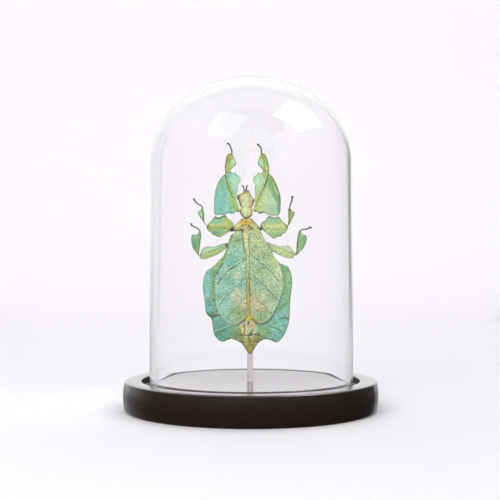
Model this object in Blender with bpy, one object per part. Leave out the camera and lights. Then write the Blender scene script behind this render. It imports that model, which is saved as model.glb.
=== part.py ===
"""Leaf insect in a glass dome.

A dried female leaf insect is carried head up on a clear rod. The rod stands on the
plateau of a round turned base, and a glass dome stands loose in the groove round it.
The insect's back faces -Y, +Z is up, and the origin is the centre of the base's underside.
Sizes are in millimetres and become metres where the meshes are made.
"""

import math

import bmesh
import bpy
from mathutils import Vector
from mathutils.geometry import interpolate_bezier

MM = 0.001
GAP = 0.35  # clearance between pieces that touch

# Turned base
BASE_RADIUS = 75.0
BASE_HEIGHT = 17.4
BASE_SIDE_BULGE = 0.9  # how far the side's middle stands out past its ends
BASE_EDGE_ROUND = 0.9
BASE_FOOT_CHAMFER = 0.8
RIM_INNER_RADIUS = 64.2
PLATEAU_RADIUS = 56.5
GROOVE_FLOOR = 12.9
GROOVE_EDGE_ROUND = 0.6
BASE_STEPS = 48
BASE_SIDE_STEPS = 6
EDGE_STEPS = 2  # facets of a rounded edge of the base

# Glass dome
DOME_FOOT_RADIUS = 59.9
DOME_SHOULDER_RADIUS = 59.4
DOME_SHOULDER_HEIGHT = 146.0
DOME_HEIGHT = 196.0
DOME_WALL = 2.4
DOME_SHIFT = 0.4  # the dome stands this far right of the base's axis
DOME_STEPS = 44
DOME_CAP_STEPS = 8
DOME_RIM_STEPS = 3

# Clear rod
ROD_RADIUS = 1.75
ROD_SHIFT = -0.4  # the rod stands this far left of the base's axis
ROD_TOP = 90.0
ROD_STEPS = 12

# Insect: outlines are (across, up) from the tip of its tail, as mounted
TAIL_TIP = (-0.5, 32.8)
BELLY_DEPTH = 1.7  # half the thickness of the abdomen's middle
WING_HALF = 0.3  # half the thickness of a forewing
WING_LEVEL = -2.45  # how far in front of the abdomen's middle the forewings lie
WING_RISE = 1.1  # how far the forewings fall back over the first WING_REACH from the midline
WING_REACH = 20.0
LEG_HALF = 0.45  # half the thickness of an upper leg's lobe
SHIN_HALF = 0.35
EYE = (0.8, 1.0, 1.35)  # half sizes of an eye
CURVE_POINTS = 7  # points between two set points of an outline
LOOK_AHEAD = 0.05  # share of a strand's length over which its direction is read
TINY = 0.000001


def clear_scene():
    for obj in list(bpy.data.objects):
        bpy.data.objects.remove(obj, do_unlink=True)


def material(name, colour, roughness, transmission=0.0, ior=1.5, coat=0.0):
    made = bpy.data.materials.new(name)
    made.use_nodes = True
    made.diffuse_color = (*colour, 1.0)
    shader = made.node_tree.nodes["Principled BSDF"]
    shader.inputs["Base Color"].default_value = (*colour, 1.0)
    shader.inputs["Roughness"].default_value = roughness
    shader.inputs["Metallic"].default_value = 0.0
    shader.inputs["Transmission Weight"].default_value = transmission
    shader.inputs["IOR"].default_value = ior
    shader.inputs["Coat Weight"].default_value = coat
    return made


def finish(bm, name, surface, origin=(0.0, 0.0, 0.0), parent=None):
    """Writes the mesh, in metres, to a new object that stands at origin (mm)."""
    bmesh.ops.scale(bm, vec=(MM, MM, MM), verts=bm.verts)
    mesh = bpy.data.meshes.new(name)
    bm.to_mesh(mesh)
    bm.free()
    mesh.materials.append(surface)
    mesh.shade_smooth()
    mesh.set_sharp_from_angle(angle=math.radians(35))
    obj = bpy.data.objects.new(name, mesh)
    obj.location = Vector(origin) * MM
    obj.parent = parent
    bpy.context.scene.collection.objects.link(obj)
    return obj


def arc(centre, radii, start, end, steps):
    """Points of an elliptic arc, from one angle to another in degrees."""
    turns = [math.radians(start + (end - start) * k / steps) for k in range(steps + 1)]
    return [(centre[0] + radii[0] * math.cos(a), centre[1] + radii[1] * math.sin(a)) for a in turns]


def turned(name, profile, steps, surface, shift=0.0):
    """Turns a profile of (radius, height) round Z; it runs down its outer side."""
    bm = bmesh.new()
    corners = [bm.verts.new((r, 0.0, z)) for r, z in profile]
    edges = [bm.edges.new(pair) for pair in zip(corners, corners[1:])]
    obj = finish(bm, name, surface, (shift, 0.0, 0.0))
    screw = obj.modifiers.new("turn", "SCREW")
    screw.steps = steps
    screw.render_steps = steps
    screw.use_merge_vertices = True
    screw.merge_threshold = 0.00001
    return obj


def base(paint):
    """A disc with a bulging side; a ring groove parts its flat rim from its flat plateau."""
    edge = BASE_EDGE_ROUND
    lip = GROOVE_EDGE_ROUND
    top = BASE_HEIGHT
    foot = BASE_FOOT_CHAMFER
    shoulder = BASE_RADIUS - BASE_SIDE_BULGE
    side = []
    for k in range(BASE_SIDE_STEPS + 1):
        share = k / BASE_SIDE_STEPS
        height = (top - edge) * (1 - share) + foot * share
        side.append((shoulder + BASE_SIDE_BULGE * (1 - (2 * share - 1) ** 2), height))
    profile = [(0.0, top)]
    profile += arc((PLATEAU_RADIUS - lip, top - lip), (lip, lip), 90, 0, EDGE_STEPS)
    profile += [(PLATEAU_RADIUS, GROOVE_FLOOR), (RIM_INNER_RADIUS, GROOVE_FLOOR)]
    profile += arc((RIM_INNER_RADIUS + lip, top - lip), (lip, lip), 180, 90, EDGE_STEPS)
    profile += arc((shoulder - edge, top - edge), (edge, edge), 90, 30, EDGE_STEPS)
    profile += side
    profile += [(shoulder - foot, 0.0), (0.0, 0.0)]
    return turned("base", profile, BASE_STEPS, paint)


def glass_dome(glass):
    """A straight wall that widens a little to its foot, under a flattened round cap."""
    wall = DOME_WALL
    foot = GROOVE_FLOOR + GAP
    rise = DOME_HEIGHT - DOME_SHOULDER_HEIGHT
    shoulder = (0.0, DOME_SHOULDER_HEIGHT)
    outside = arc(shoulder, (DOME_SHOULDER_RADIUS, rise), 90, 0, DOME_CAP_STEPS)
    inside = arc(shoulder, (DOME_SHOULDER_RADIUS - wall, rise - wall), 0, 90, DOME_CAP_STEPS)
    rim = arc((DOME_FOOT_RADIUS - wall / 2, foot + wall / 2), (wall / 2, wall / 2), 0, -180, DOME_RIM_STEPS)
    outside[0] = (0.0, DOME_HEIGHT)
    inside[-1] = (0.0, DOME_HEIGHT - wall)
    return turned("glass_dome", outside + rim + inside, DOME_STEPS, glass, DOME_SHIFT)


def support_rod(acrylic):
    foot = BASE_HEIGHT + GAP
    bm = bmesh.new()
    bmesh.ops.create_cone(
        bm, cap_ends=True, segments=ROD_STEPS, radius1=ROD_RADIUS, radius2=ROD_RADIUS, depth=ROD_TOP - foot
    )
    return finish(bm, "support_rod", acrylic, (ROD_SHIFT, 0.0, (ROD_TOP + foot) / 2))


class Line:
    """A smooth line through hand-set points, read by the share of its length."""

    def __init__(self, points):
        given = [Vector((x, 0.0, z)) for x, z in points]
        ends = [given[0], *given, given[-1]]
        self.path = [given[0]]
        for before, start, end, after in zip(ends, ends[1:], ends[2:], ends[3:]):
            handles = start + (end - before) / 6, end - (after - start) / 6
            self.path += interpolate_bezier(start, *handles, end, CURVE_POINTS)[1:]
        self.reach = [0.0]
        for start, end in zip(self.path, self.path[1:]):
            self.reach.append(self.reach[-1] + (end - start).length)

    def at(self, share):
        wanted = share * self.reach[-1]
        for k, reach in enumerate(self.reach[1:]):
            if reach >= wanted:
                part = (wanted - self.reach[k]) / max(reach - self.reach[k], TINY)
                return self.path[k].lerp(self.path[k + 1], part)
        return self.path[-1].copy()


def ball_place(co):
    """For a point of a unit ball: its share of the way from pole to pole, its ring's radius,
    and how far it is turned to the front and across."""
    share = math.acos(max(-1.0, min(1.0, co.z))) / math.pi
    swell = math.hypot(co.x, co.y)
    return share, swell, co.x / max(swell, TINY), co.y / max(swell, TINY)


def plate(name, root, left, right, tip, surface, parent, **shape):
    """A closed leaf-like solid between a left and a right edge line, from root to tip.

    shape: level, the depth of its middle, with -Y towards the viewer; half, half its
    greatest thickness; thin, how much its margins thin out; sides and rings, its facets;
    spine, a middle line where the straight one would leave the outline; and camber, a
    function of the place that adds to the level.
    """
    level = shape.get("level", 0.0)
    half = shape["half"]
    thin = shape.get("thin", 0.0)
    camber = shape.get("camber", lambda x, z: 0.0)
    left_line = Line([root, *left, tip])
    right_line = Line([root, *right, tip])
    spine = shape.get("spine")
    spine_line = Line([root, *spine, tip]) if spine else None
    bm = bmesh.new()
    bmesh.ops.create_uvsphere(bm, u_segments=shape["sides"], v_segments=shape["rings"], radius=1.0)
    for vert in bm.verts:
        share, swell, facing, across = ball_place(vert.co)
        edges = left_line.at(share), right_line.at(share)
        middle = spine_line.at(share) if spine_line else (edges[0] + edges[1]) / 2
        place = middle.lerp(edges[across > 0], abs(across))
        depth = half * facing * (1 - thin + thin * facing**2) * swell**0.5
        vert.co = (place.x - root[0], level + camber(place.x, place.z) + depth, place.z - root[1])
    bm.normal_update()
    bmesh.ops.recalc_face_normals(bm, faces=bm.faces)
    return finish(bm, name, surface, (root[0], 0.0, root[1]), parent)


def strand(name, points, widths, surface, parent, level, sides=5, rings=7):
    """A thin round-sided piece along a line, with a width at its root, middle and tip."""
    line = Line(points)
    bm = bmesh.new()
    bmesh.ops.create_uvsphere(bm, u_segments=sides, v_segments=rings, radius=1.0)
    for vert in bm.verts:
        share, swell, facing, across = ball_place(vert.co)
        along = line.at(min(1.0, share + LOOK_AHEAD)) - line.at(max(0.0, share - LOOK_AHEAD))
        side = Vector((along.z, 0.0, -along.x)).normalized()
        end_width = widths[0] if share < 0.5 else widths[2]
        half = (end_width + (widths[1] - end_width) * 2 * min(share, 1 - share)) / 2
        place = line.at(share) + side * across * half
        vert.co = (place.x - points[0][0], level + facing * half, place.z - points[0][1])
    bm.normal_update()
    bmesh.ops.recalc_face_normals(bm, faces=bm.faces)
    return finish(bm, name, surface, (points[0][0], 0.0, points[0][1]), parent)


def body_axis(z):
    """Where the insect's middle line runs: it leans a little to the left."""
    return -0.9 - 0.012 * z


def head(chitin, parent):
    root = (-2.2, 86.3)
    level = -0.6
    obj = plate(
        "head",
        root,
        [(-4.8, 86.3), (-5.6, 87.0), (-6.0, 88.2), (-6.5, 90.0), (-6.9, 91.6), (-7.1, 92.7),
         (-6.9, 93.4), (-6.0, 93.7), (-5.1, 94.3), (-4.2, 94.9), (-3.8, 96.0), (-3.1, 96.6)],
        [(0.5, 86.3), (1.5, 86.9), (2.0, 88.0), (2.4, 89.3), (2.6, 90.5), (2.5, 91.2),
         (1.9, 91.9), (1.1, 92.8), (0.4, 93.9), (0.1, 94.9), (-0.3, 95.7), (-1.2, 96.3)],
        (-2.2, 96.6), chitin, parent, half=2.4, level=level, sides=10, rings=14,
    )
    for side, place in (("left", (-6.6, 92.2)), ("right", (2.2, 90.4))):
        bm = bmesh.new()
        bmesh.ops.create_uvsphere(bm, u_segments=8, v_segments=6, radius=1.0)
        bmesh.ops.scale(bm, vec=EYE, verts=bm.verts)
        eye = finish(bm, f"eye_{side}_form", chitin, (place[0] - root[0], level, place[1] - root[1]), obj)
        eye.hide_render = True
        eye.display_type = "WIRE"
        join = obj.modifiers.new(f"eye_{side}", "BOOLEAN")
        join.operation = "UNION"
        join.solver = "EXACT"
        join.object = eye
    return obj


def pronotum(chitin, parent):
    return plate(
        "pronotum",
        (-2.2, 85.9),
        [(-4.6, 85.8), (-5.5, 84.9), (-5.5, 83.4), (-5.1, 82.0), (-4.5, 80.9), (-3.4, 80.2)],
        [(0.3, 85.8), (1.1, 85.0), (1.4, 83.6), (1.2, 82.3), (0.7, 81.2), (-0.6, 80.2)],
        (-2.1, 80.0), chitin, parent, half=2.2, level=-0.6, sides=10, rings=9,
    )


def thorax(chitin, parent):
    """It reaches down behind the roots of the forewings."""
    return plate(
        "thorax",
        (-1.9, 79.6),
        [(-4.7, 79.4), (-5.8, 78.2), (-7.8, 76.4), (-9.1, 75.3), (-9.3, 74.0), (-9.0, 72.6),
         (-7.6, 71.6), (-5.0, 71.2)],
        [(1.1, 79.4), (2.4, 77.9), (4.3, 76.2), (5.4, 75.0), (6.0, 73.6), (5.9, 72.4),
         (4.8, 71.5), (2.0, 71.2)],
        (-1.8, 71.05), chitin, parent, half=1.75, level=0.2, sides=10, rings=14,
    )


def antennae(chitin, parent):
    routes = {
        "left": [(-3.2, 97.1), (-3.6, 97.9), (-4.1, 98.7), (-4.6, 99.3)],
        "right": [(-2.1, 97.2), (-1.9, 98.0), (-1.7, 98.7), (-1.4, 99.4)],
    }
    for side, route in routes.items():
        strand(f"antenna_{side}", route, (0.7, 0.6, 0.5), chitin, parent, -0.8, sides=5, rings=5)


def abdomen(leaf, parent):
    return plate(
        "abdomen",
        (-2.0, 70.6),
        [(-7.0, 70.7), (-10.7, 70.3), (-11.8, 68.2), (-12.6, 65.5), (-13.5, 62.5), (-14.5, 60.0),
         (-15.9, 57.3), (-18.2, 55.1), (-20.3, 52.8), (-22.7, 50.8), (-24.8, 49.6), (-26.3, 47.2),
         (-27.2, 44.6), (-27.7, 41.0), (-27.6, 38.0), (-27.1, 35.0), (-26.6, 31.5), (-26.3, 28.0),
         (-25.9, 25.0), (-25.0, 23.2), (-23.6, 21.9), (-22.5, 20.8), (-22.1, 19.0), (-21.9, 17.0),
         (-21.6, 14.5), (-21.2, 12.2), (-20.3, 10.5), (-18.8, 8.9), (-17.2, 7.7), (-15.6, 7.4),
         (-14.2, 8.2), (-12.8, 8.9), (-10.8, 9.0), (-8.8, 8.5), (-6.7, 7.5), (-4.9, 6.4),
         (-3.6, 4.7), (-2.2, 2.6), (-1.0, 0.8)],
        [(2.0, 70.6), (5.0, 69.6), (7.5, 66.5), (10.5, 62.0), (13.5, 57.6), (15.9, 55.0),
         (17.6, 53.6), (20.0, 52.5), (22.2, 51.6), (23.3, 49.7), (24.3, 47.3), (24.8, 44.0),
         (24.8, 41.0), (24.5, 37.5), (24.0, 34.0), (23.7, 30.5), (23.6, 26.5), (23.4, 22.5),
         (23.0, 19.5), (22.2, 16.3), (21.0, 13.0), (19.6, 10.4), (17.9, 8.3), (16.4, 7.3),
         (15.0, 7.1), (13.4, 8.0), (11.8, 8.7), (10.0, 8.9), (8.2, 8.7), (6.5, 7.8),
         (4.8, 6.4), (3.4, 4.4), (2.1, 2.2), (1.0, 0.6)],
        (0.0, 0.0), leaf, parent, half=BELLY_DEPTH, thin=0.65, sides=12, rings=54,
        spine=[(-1.6, 60.0), (-1.3, 50.0), (-1.0, 38.0), (-0.8, 27.0), (-0.5, 19.0), (-0.3, 13.0),
               (-0.1, 6.0)],
    )


def wing_roof(x, z):
    """The closed forewings lie over the abdomen like a low roof."""
    return WING_RISE * ((x - body_axis(z)) / WING_REACH) ** 2


def forewings(leaf, parent):
    wing = {"half": WING_HALF, "level": WING_LEVEL, "sides": 8, "rings": 32, "camber": wing_roof}
    plate(
        "forewing_left",
        (-7.0, 72.0),
        [(-9.0, 71.5), (-10.1, 69.5), (-10.9, 67.0), (-11.8, 64.0), (-12.9, 61.0), (-13.9, 58.3),
         (-14.9, 56.0), (-16.4, 53.4), (-18.0, 50.7), (-19.3, 48.2), (-20.3, 45.5), (-20.8, 42.5),
         (-20.7, 39.0), (-20.4, 35.0), (-20.2, 31.0), (-19.7, 28.0), (-18.7, 25.5), (-17.3, 23.1),
         (-15.9, 20.9), (-14.0, 19.1), (-11.8, 18.0)],
        [(-5.0, 71.6), (-3.9, 69.0), (-3.1, 65.5), (-2.6, 61.0), (-2.5, 55.0), (-2.5, 45.0),
         (-2.5, 35.0), (-2.3, 29.0), (-1.9, 25.5), (-1.7, 22.6), (-2.4, 21.0), (-3.8, 19.7),
         (-5.4, 18.7), (-7.2, 17.9)],
        (-8.9, 17.6), leaf, parent, **wing,
    )
    plate(
        "forewing_right",
        (1.0, 71.4),
        [(-2.0, 71.2), (-3.2, 69.0), (-2.6, 65.5), (-2.2, 61.0), (-2.1, 55.0), (-2.1, 45.0),
         (-2.1, 35.0), (-1.9, 29.0), (-1.5, 25.5), (-0.9, 23.1), (0.1, 22.0), (1.2, 20.8),
         (2.6, 19.9), (4.0, 19.1), (5.8, 18.7)],
        [(4.2, 72.1), (6.6, 71.6), (7.6, 70.0), (8.5, 68.0), (9.7, 65.7), (11.2, 63.0),
         (12.8, 60.2), (14.2, 57.7), (15.6, 55.4), (17.0, 53.6), (18.0, 51.5), (18.8, 49.0),
         (19.5, 46.3), (20.0, 43.0), (19.9, 40.0), (19.4, 37.0), (18.5, 34.5), (17.4, 32.0),
         (16.7, 29.2), (15.3, 26.7), (13.8, 23.9), (12.0, 21.6), (10.0, 19.5)],
        (7.8, 18.5), leaf, parent, **wing,
    )


def fore_legs(leaf, olive, brown, parent):
    femur = {"half": LEG_HALF, "level": -0.9, "sides": 6, "rings": 24}
    tibia = {"half": SHIN_HALF, "level": -0.1, "sides": 6, "rings": 16}
    plate(
        "fore_femur_left",
        (-5.9, 84.5),
        [(-6.6, 83.7), (-7.6, 83.8), (-8.6, 83.3), (-9.6, 82.7), (-10.6, 82.4), (-12.4, 83.0),
         (-13.8, 82.3), (-15.2, 81.8), (-17.0, 81.9), (-19.0, 81.7), (-20.4, 82.0), (-20.9, 83.6),
         (-21.0, 87.0), (-20.9, 90.0), (-20.6, 93.5), (-20.0, 97.0), (-18.9, 100.0),
         (-17.3, 103.0), (-15.8, 104.8)],
        [(-6.4, 85.6), (-6.6, 87.0), (-7.2, 89.0), (-7.7, 91.0), (-7.8, 93.0), (-7.4, 95.5),
         (-7.1, 97.5), (-7.1, 99.2), (-6.3, 100.2), (-5.5, 101.3), (-5.3, 102.5), (-5.7, 103.7),
         (-6.6, 104.7), (-7.8, 105.5), (-8.2, 106.5), (-8.6, 107.0), (-9.3, 106.4), (-10.3, 106.8),
         (-11.3, 107.2), (-12.6, 106.4)],
        (-14.8, 105.6), leaf, parent, **femur,
    )
    plate(
        "fore_femur_right",
        (1.75, 84.7),
        [(2.4, 86.0), (2.5, 87.5), (2.9, 89.0), (3.1, 91.0), (3.2, 93.0), (3.0, 95.0),
         (2.8, 96.8), (3.0, 98.8), (2.7, 100.1), (2.0, 101.2), (1.8, 102.3), (2.2, 103.6),
         (3.1, 104.8), (4.2, 105.4), (4.7, 106.8), (5.3, 106.5), (6.2, 106.0), (7.1, 106.6),
         (8.0, 107.3), (9.4, 107.0)],
        [(2.5, 83.9), (3.4, 84.0), (4.3, 83.6), (5.2, 82.8), (6.2, 82.4), (7.4, 82.8),
         (8.4, 83.1), (9.5, 82.7), (10.5, 82.0), (12.0, 81.5), (14.0, 81.4), (16.0, 81.5),
         (17.2, 82.2), (17.8, 84.0), (18.0, 87.0), (18.1, 90.0), (17.8, 93.0), (17.0, 96.0),
         (15.9, 99.0), (14.5, 102.1), (12.9, 104.6)],
        (11.2, 106.4), leaf, parent, **femur,
    )
    plate(
        "fore_tibia_left",
        (-13.4, 105.6),
        [(-14.3, 106.6), (-14.6, 108.5), (-14.7, 110.3), (-14.3, 112.5), (-14.0, 114.8),
         (-13.5, 116.3), (-12.7, 117.5), (-11.6, 118.1)],
        [(-12.0, 106.6), (-11.4, 107.8), (-11.1, 108.6), (-10.4, 109.2), (-9.4, 110.2),
         (-8.4, 110.9), (-8.0, 112.0), (-8.4, 113.2), (-9.0, 114.7), (-9.7, 116.4)],
        (-10.4, 117.7), olive, parent, **tibia,
    )
    plate(
        "fore_tibia_right",
        (9.6, 105.8),
        [(8.3, 107.2), (7.8, 107.9), (7.1, 108.8), (6.2, 109.8), (5.4, 110.5), (4.8, 111.1),
         (4.7, 112.2), (4.9, 113.5), (5.4, 115.0), (6.0, 116.4)],
        [(11.1, 106.9), (11.3, 108.5), (11.1, 110.5), (10.7, 112.3), (10.1, 114.5),
         (9.5, 116.2), (8.9, 117.2), (8.2, 117.9), (7.4, 117.6)],
        (6.6, 117.7), olive, parent, **tibia,
    )
    left = [(-10.3, 118.1), (-10.5, 119.3), (-11.3, 121.3), (-12.1, 123.2), (-12.9, 123.8)]
    right = [(6.6, 118.1), (6.8, 119.4), (6.6, 120.6), (6.1, 121.5), (5.4, 122.4), (4.7, 123.2)]
    strand("fore_tarsus_left", left, (0.7, 0.7, 0.9), brown, parent, -0.1)
    strand("fore_tarsus_right", right, (0.7, 0.7, 1.0), brown, parent, -0.1)


def mid_legs(leaf, olive, brown, parent):
    femur = {"half": LEG_HALF, "level": 0.5, "sides": 6, "rings": 24}
    tibia = {"half": SHIN_HALF, "level": 0.5, "sides": 6, "rings": 16}
    plate(
        "mid_femur_left",
        (-9.7, 75.3),
        [(-10.0, 74.0), (-10.7, 73.0), (-11.8, 72.2), (-12.7, 71.8), (-13.6, 71.0), (-15.0, 70.1),
         (-16.5, 69.2), (-17.6, 68.6), (-18.6, 68.9), (-20.3, 69.7), (-22.1, 70.3), (-22.7, 71.3),
         (-23.3, 72.0), (-24.3, 72.1), (-24.8, 73.2), (-25.4, 74.2)],
        [(-9.5, 76.5), (-9.9, 77.3), (-10.8, 78.2), (-12.0, 79.0), (-12.9, 79.8), (-13.7, 80.8),
         (-14.4, 81.7), (-15.6, 81.5), (-17.0, 80.9), (-18.4, 80.4), (-19.4, 80.7), (-20.3, 81.1),
         (-21.3, 80.2), (-22.4, 79.0), (-23.6, 77.7), (-24.7, 76.3)],
        (-25.3, 75.2), leaf, parent, **femur,
    )
    plate(
        "mid_femur_right",
        (6.5, 75.0),
        [(6.2, 76.1), (6.7, 77.1), (7.5, 77.9), (8.5, 78.3), (9.3, 78.8), (9.8, 79.8),
         (10.3, 80.5), (11.4, 81.2), (12.5, 80.9), (13.7, 80.5), (15.2, 80.4), (16.3, 80.9),
         (17.2, 80.5), (18.1, 79.7), (19.2, 78.4), (20.3, 77.1), (21.2, 76.3)],
        [(6.9, 73.8), (7.7, 72.9), (9.0, 71.7), (10.8, 70.2), (12.4, 69.0), (14.0, 67.9),
         (15.4, 68.6), (16.9, 69.1), (18.4, 69.3), (19.0, 70.2), (19.7, 70.9), (20.6, 71.1),
         (21.1, 72.0), (21.9, 72.9), (22.4, 74.0)],
        (22.3, 75.4), leaf, parent, **femur,
    )
    plate(
        "mid_tibia_left",
        (-25.7, 75.8),
        [(-26.3, 76.2), (-27.0, 77.2), (-28.0, 78.7), (-29.0, 80.1), (-29.9, 81.5),
         (-30.5, 82.7), (-30.4, 83.6), (-29.7, 84.2), (-28.8, 84.9), (-28.4, 85.8)],
        [(-25.9, 76.6), (-26.5, 77.3), (-26.7, 78.4), (-26.8, 80.0), (-26.9, 82.0),
         (-27.1, 84.0), (-27.4, 85.6)],
        (-27.9, 86.6), olive, parent, **tibia,
    )
    plate(
        "mid_tibia_right",
        (22.8, 75.8),
        [(22.5, 76.8), (22.6, 78.5), (22.6, 81.0), (22.5, 83.0), (22.6, 84.6), (22.9, 85.8)],
        [(23.5, 76.6), (24.1, 77.8), (24.8, 79.3), (25.5, 80.7), (26.1, 82.0), (26.2, 83.1),
         (25.8, 83.8), (25.1, 84.0), (24.4, 84.7), (23.9, 85.6)],
        (23.4, 86.5), olive, parent, **tibia,
    )
    left = [(-28.0, 87.0), (-29.0, 87.4), (-30.2, 88.0), (-31.3, 89.0), (-32.2, 90.0), (-32.9, 91.2)]
    right = [(23.4, 86.9), (23.8, 87.8), (24.2, 88.8), (24.6, 90.0), (24.8, 91.4), (25.0, 92.8)]
    strand("mid_tarsus_left", left, (0.6, 0.6, 0.9), brown, parent, 0.5)
    strand("mid_tarsus_right", right, (0.6, 0.7, 1.0), brown, parent, 0.5)


def hind_legs(leaf, olive, brown, parent):
    """Their stems run behind the abdomen to the underside of the thorax."""
    femur = {"half": LEG_HALF, "level": 1.7, "sides": 6, "rings": 26}
    tibia = {"half": SHIN_HALF, "level": 1.7, "sides": 6, "rings": 16}
    plate(
        "hind_femur_left",
        (-5.0, 70.4),
        [(-5.3, 69.3), (-7.4, 67.3), (-9.8, 65.3), (-11.6, 63.8), (-12.7, 62.9), (-14.6, 61.7),
         (-16.3, 60.5), (-18.0, 59.3), (-19.8, 58.3), (-22.0, 57.4), (-24.0, 56.6), (-25.8, 56.0),
         (-27.4, 55.7), (-28.6, 56.0)],
        [(-6.0, 70.3), (-8.3, 68.4), (-10.8, 66.4), (-12.2, 65.3), (-12.9, 65.1), (-13.5, 65.5),
         (-14.6, 65.4), (-16.2, 64.8), (-18.0, 64.2), (-20.0, 63.4), (-21.6, 63.1), (-23.4, 63.2),
         (-24.6, 63.5), (-25.4, 63.1), (-26.4, 63.1), (-27.4, 62.5), (-28.2, 61.4), (-28.8, 60.0),
         (-29.3, 58.7)],
        (-29.5, 57.2), leaf, parent, **femur,
    )
    plate(
        "hind_femur_right",
        (1.6, 70.4),
        [(2.6, 70.2), (4.9, 68.7), (7.4, 67.1), (9.3, 66.1), (11.3, 65.5), (13.2, 64.8),
         (15.2, 64.2), (17.0, 63.7), (18.6, 63.4), (20.0, 63.7), (21.2, 63.6), (22.4, 63.9),
         (23.2, 63.6), (24.2, 62.4), (25.1, 61.2), (25.8, 60.4), (25.9, 59.4)],
        [(1.7, 69.4), (3.9, 67.6), (6.4, 66.0), (8.8, 64.9), (9.9, 64.4), (10.8, 63.2),
         (11.8, 61.8), (12.7, 60.5), (13.5, 60.0), (14.9, 59.6), (16.6, 58.6), (18.6, 57.8),
         (20.5, 57.0), (22.3, 56.5), (24.0, 56.3), (25.2, 56.5), (25.8, 57.2)],
        (26.0, 58.2), leaf, parent, **femur,
    )
    plate(
        "hind_tibia_left",
        (-30.0, 57.8),
        [(-30.8, 58.5), (-31.6, 59.6), (-32.6, 61.1), (-33.6, 62.8), (-34.2, 64.8), (-34.5, 67.0),
         (-34.4, 69.0), (-33.9, 70.1), (-33.2, 70.4), (-32.2, 70.2), (-31.2, 70.4), (-30.4, 71.2)],
        [(-29.9, 58.6), (-29.9, 59.8), (-29.8, 61.0), (-29.5, 63.0), (-29.2, 65.5), (-28.8, 67.8),
         (-28.6, 69.8), (-28.8, 71.4)],
        (-29.3, 72.3), olive, parent, **tibia,
    )
    plate(
        "hind_tibia_right",
        (26.6, 58.1),
        [(26.9, 59.2), (27.3, 60.5), (27.4, 62.5), (27.6, 65.0), (27.8, 67.3), (28.2, 69.6),
         (28.7, 71.7)],
        [(27.6, 58.2), (28.6, 59.2), (30.0, 60.6), (31.4, 62.2), (32.5, 64.2), (33.2, 66.2),
         (33.5, 68.0), (33.3, 69.4), (32.7, 70.1), (31.9, 69.9), (31.1, 70.4), (30.4, 71.4)],
        (29.4, 72.9), olive, parent, **tibia,
    )
    left = [(-29.4, 72.7), (-30.0, 73.3), (-30.9, 74.0), (-32.0, 74.5), (-33.2, 75.1), (-34.2, 75.8),
            (-34.7, 76.7)]
    right = [(29.6, 73.3), (31.0, 73.3), (32.6, 73.4), (34.0, 73.8), (35.2, 74.4), (36.0, 74.6)]
    strand("hind_tarsus_left", left, (0.6, 0.6, 0.9), brown, parent, 1.7)
    strand("hind_tarsus_right", right, (0.6, 0.6, 1.0), brown, parent, 1.7)


def insect():
    """The pieces hang on one empty at the tail's tip, in front of the rod."""
    specimen = bpy.data.objects.new("specimen", None)
    specimen.location = Vector((TAIL_TIP[0], -(ROD_RADIUS + GAP + BELLY_DEPTH), TAIL_TIP[1])) * MM
    bpy.context.scene.collection.objects.link(specimen)
    wing = material("forewing chitin", (0.35, 0.55, 0.42), 0.6)
    flap = material("abdomen chitin", (0.16, 0.42, 0.34), 0.6)
    leg = material("leg lobe chitin", (0.24, 0.46, 0.24), 0.6)
    shin = material("shin lobe chitin", (0.30, 0.36, 0.10), 0.6)
    foot = material("foot chitin", (0.05, 0.03, 0.025), 0.5)
    shield = material("shield chitin", (0.45, 0.42, 0.20), 0.55)
    back = material("thorax chitin", (0.45, 0.33, 0.09), 0.55)
    head(shield, specimen)
    antennae(foot, specimen)
    pronotum(shield, specimen)
    thorax(back, specimen)
    forewings(wing, specimen)
    abdomen(flap, specimen)
    fore_legs(leg, shin, foot, specimen)
    mid_legs(leg, shin, foot, specimen)
    hind_legs(leg, shin, foot, specimen)


def main():
    clear_scene()
    base(material("black satin paint", (0.012, 0.011, 0.011), 0.3, coat=0.3))
    glass_dome(material("clear glass", (1.0, 1.0, 1.0), 0.0, transmission=1.0, ior=1.52))
    support_rod(material("clear acrylic", (1.0, 1.0, 1.0), 0.03, transmission=1.0, ior=1.49))
    insect()


main()
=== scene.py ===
import math

import bmesh
import bpy
import numpy as np
from mathutils import Matrix, Vector
from mathutils.geometry import interpolate_bezier


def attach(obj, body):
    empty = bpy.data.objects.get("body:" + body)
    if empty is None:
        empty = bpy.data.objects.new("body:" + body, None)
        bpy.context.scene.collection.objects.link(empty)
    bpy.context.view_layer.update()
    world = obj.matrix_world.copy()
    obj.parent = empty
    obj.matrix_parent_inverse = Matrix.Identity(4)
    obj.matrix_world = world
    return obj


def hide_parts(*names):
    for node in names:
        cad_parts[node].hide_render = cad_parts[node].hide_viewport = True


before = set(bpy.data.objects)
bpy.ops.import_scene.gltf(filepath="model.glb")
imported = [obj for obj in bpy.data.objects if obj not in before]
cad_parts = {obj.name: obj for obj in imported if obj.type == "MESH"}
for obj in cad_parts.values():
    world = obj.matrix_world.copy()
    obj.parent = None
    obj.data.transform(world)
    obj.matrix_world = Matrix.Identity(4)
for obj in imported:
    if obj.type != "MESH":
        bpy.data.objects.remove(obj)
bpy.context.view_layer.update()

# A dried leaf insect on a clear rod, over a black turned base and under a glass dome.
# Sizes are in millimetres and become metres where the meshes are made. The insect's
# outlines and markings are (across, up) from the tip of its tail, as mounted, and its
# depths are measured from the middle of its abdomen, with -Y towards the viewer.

MM = 0.001
TINY = 0.000001

# Turned base
BASE_RADIUS = 75.0
BASE_HEIGHT = 17.4
BASE_SIDE_BULGE = 0.9
BASE_EDGE_ROUND = 1.1
BASE_FOOT_CHAMFER = 0.8
RIM_INNER_RADIUS = 64.2
PLATEAU_RADIUS = 56.5
GROOVE_FLOOR = 12.9
GROOVE_EDGE_ROUND = 0.6
GROOVE_CORNER_ROUND = 0.5
BASE_SIDE_STEPS = 24

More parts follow.
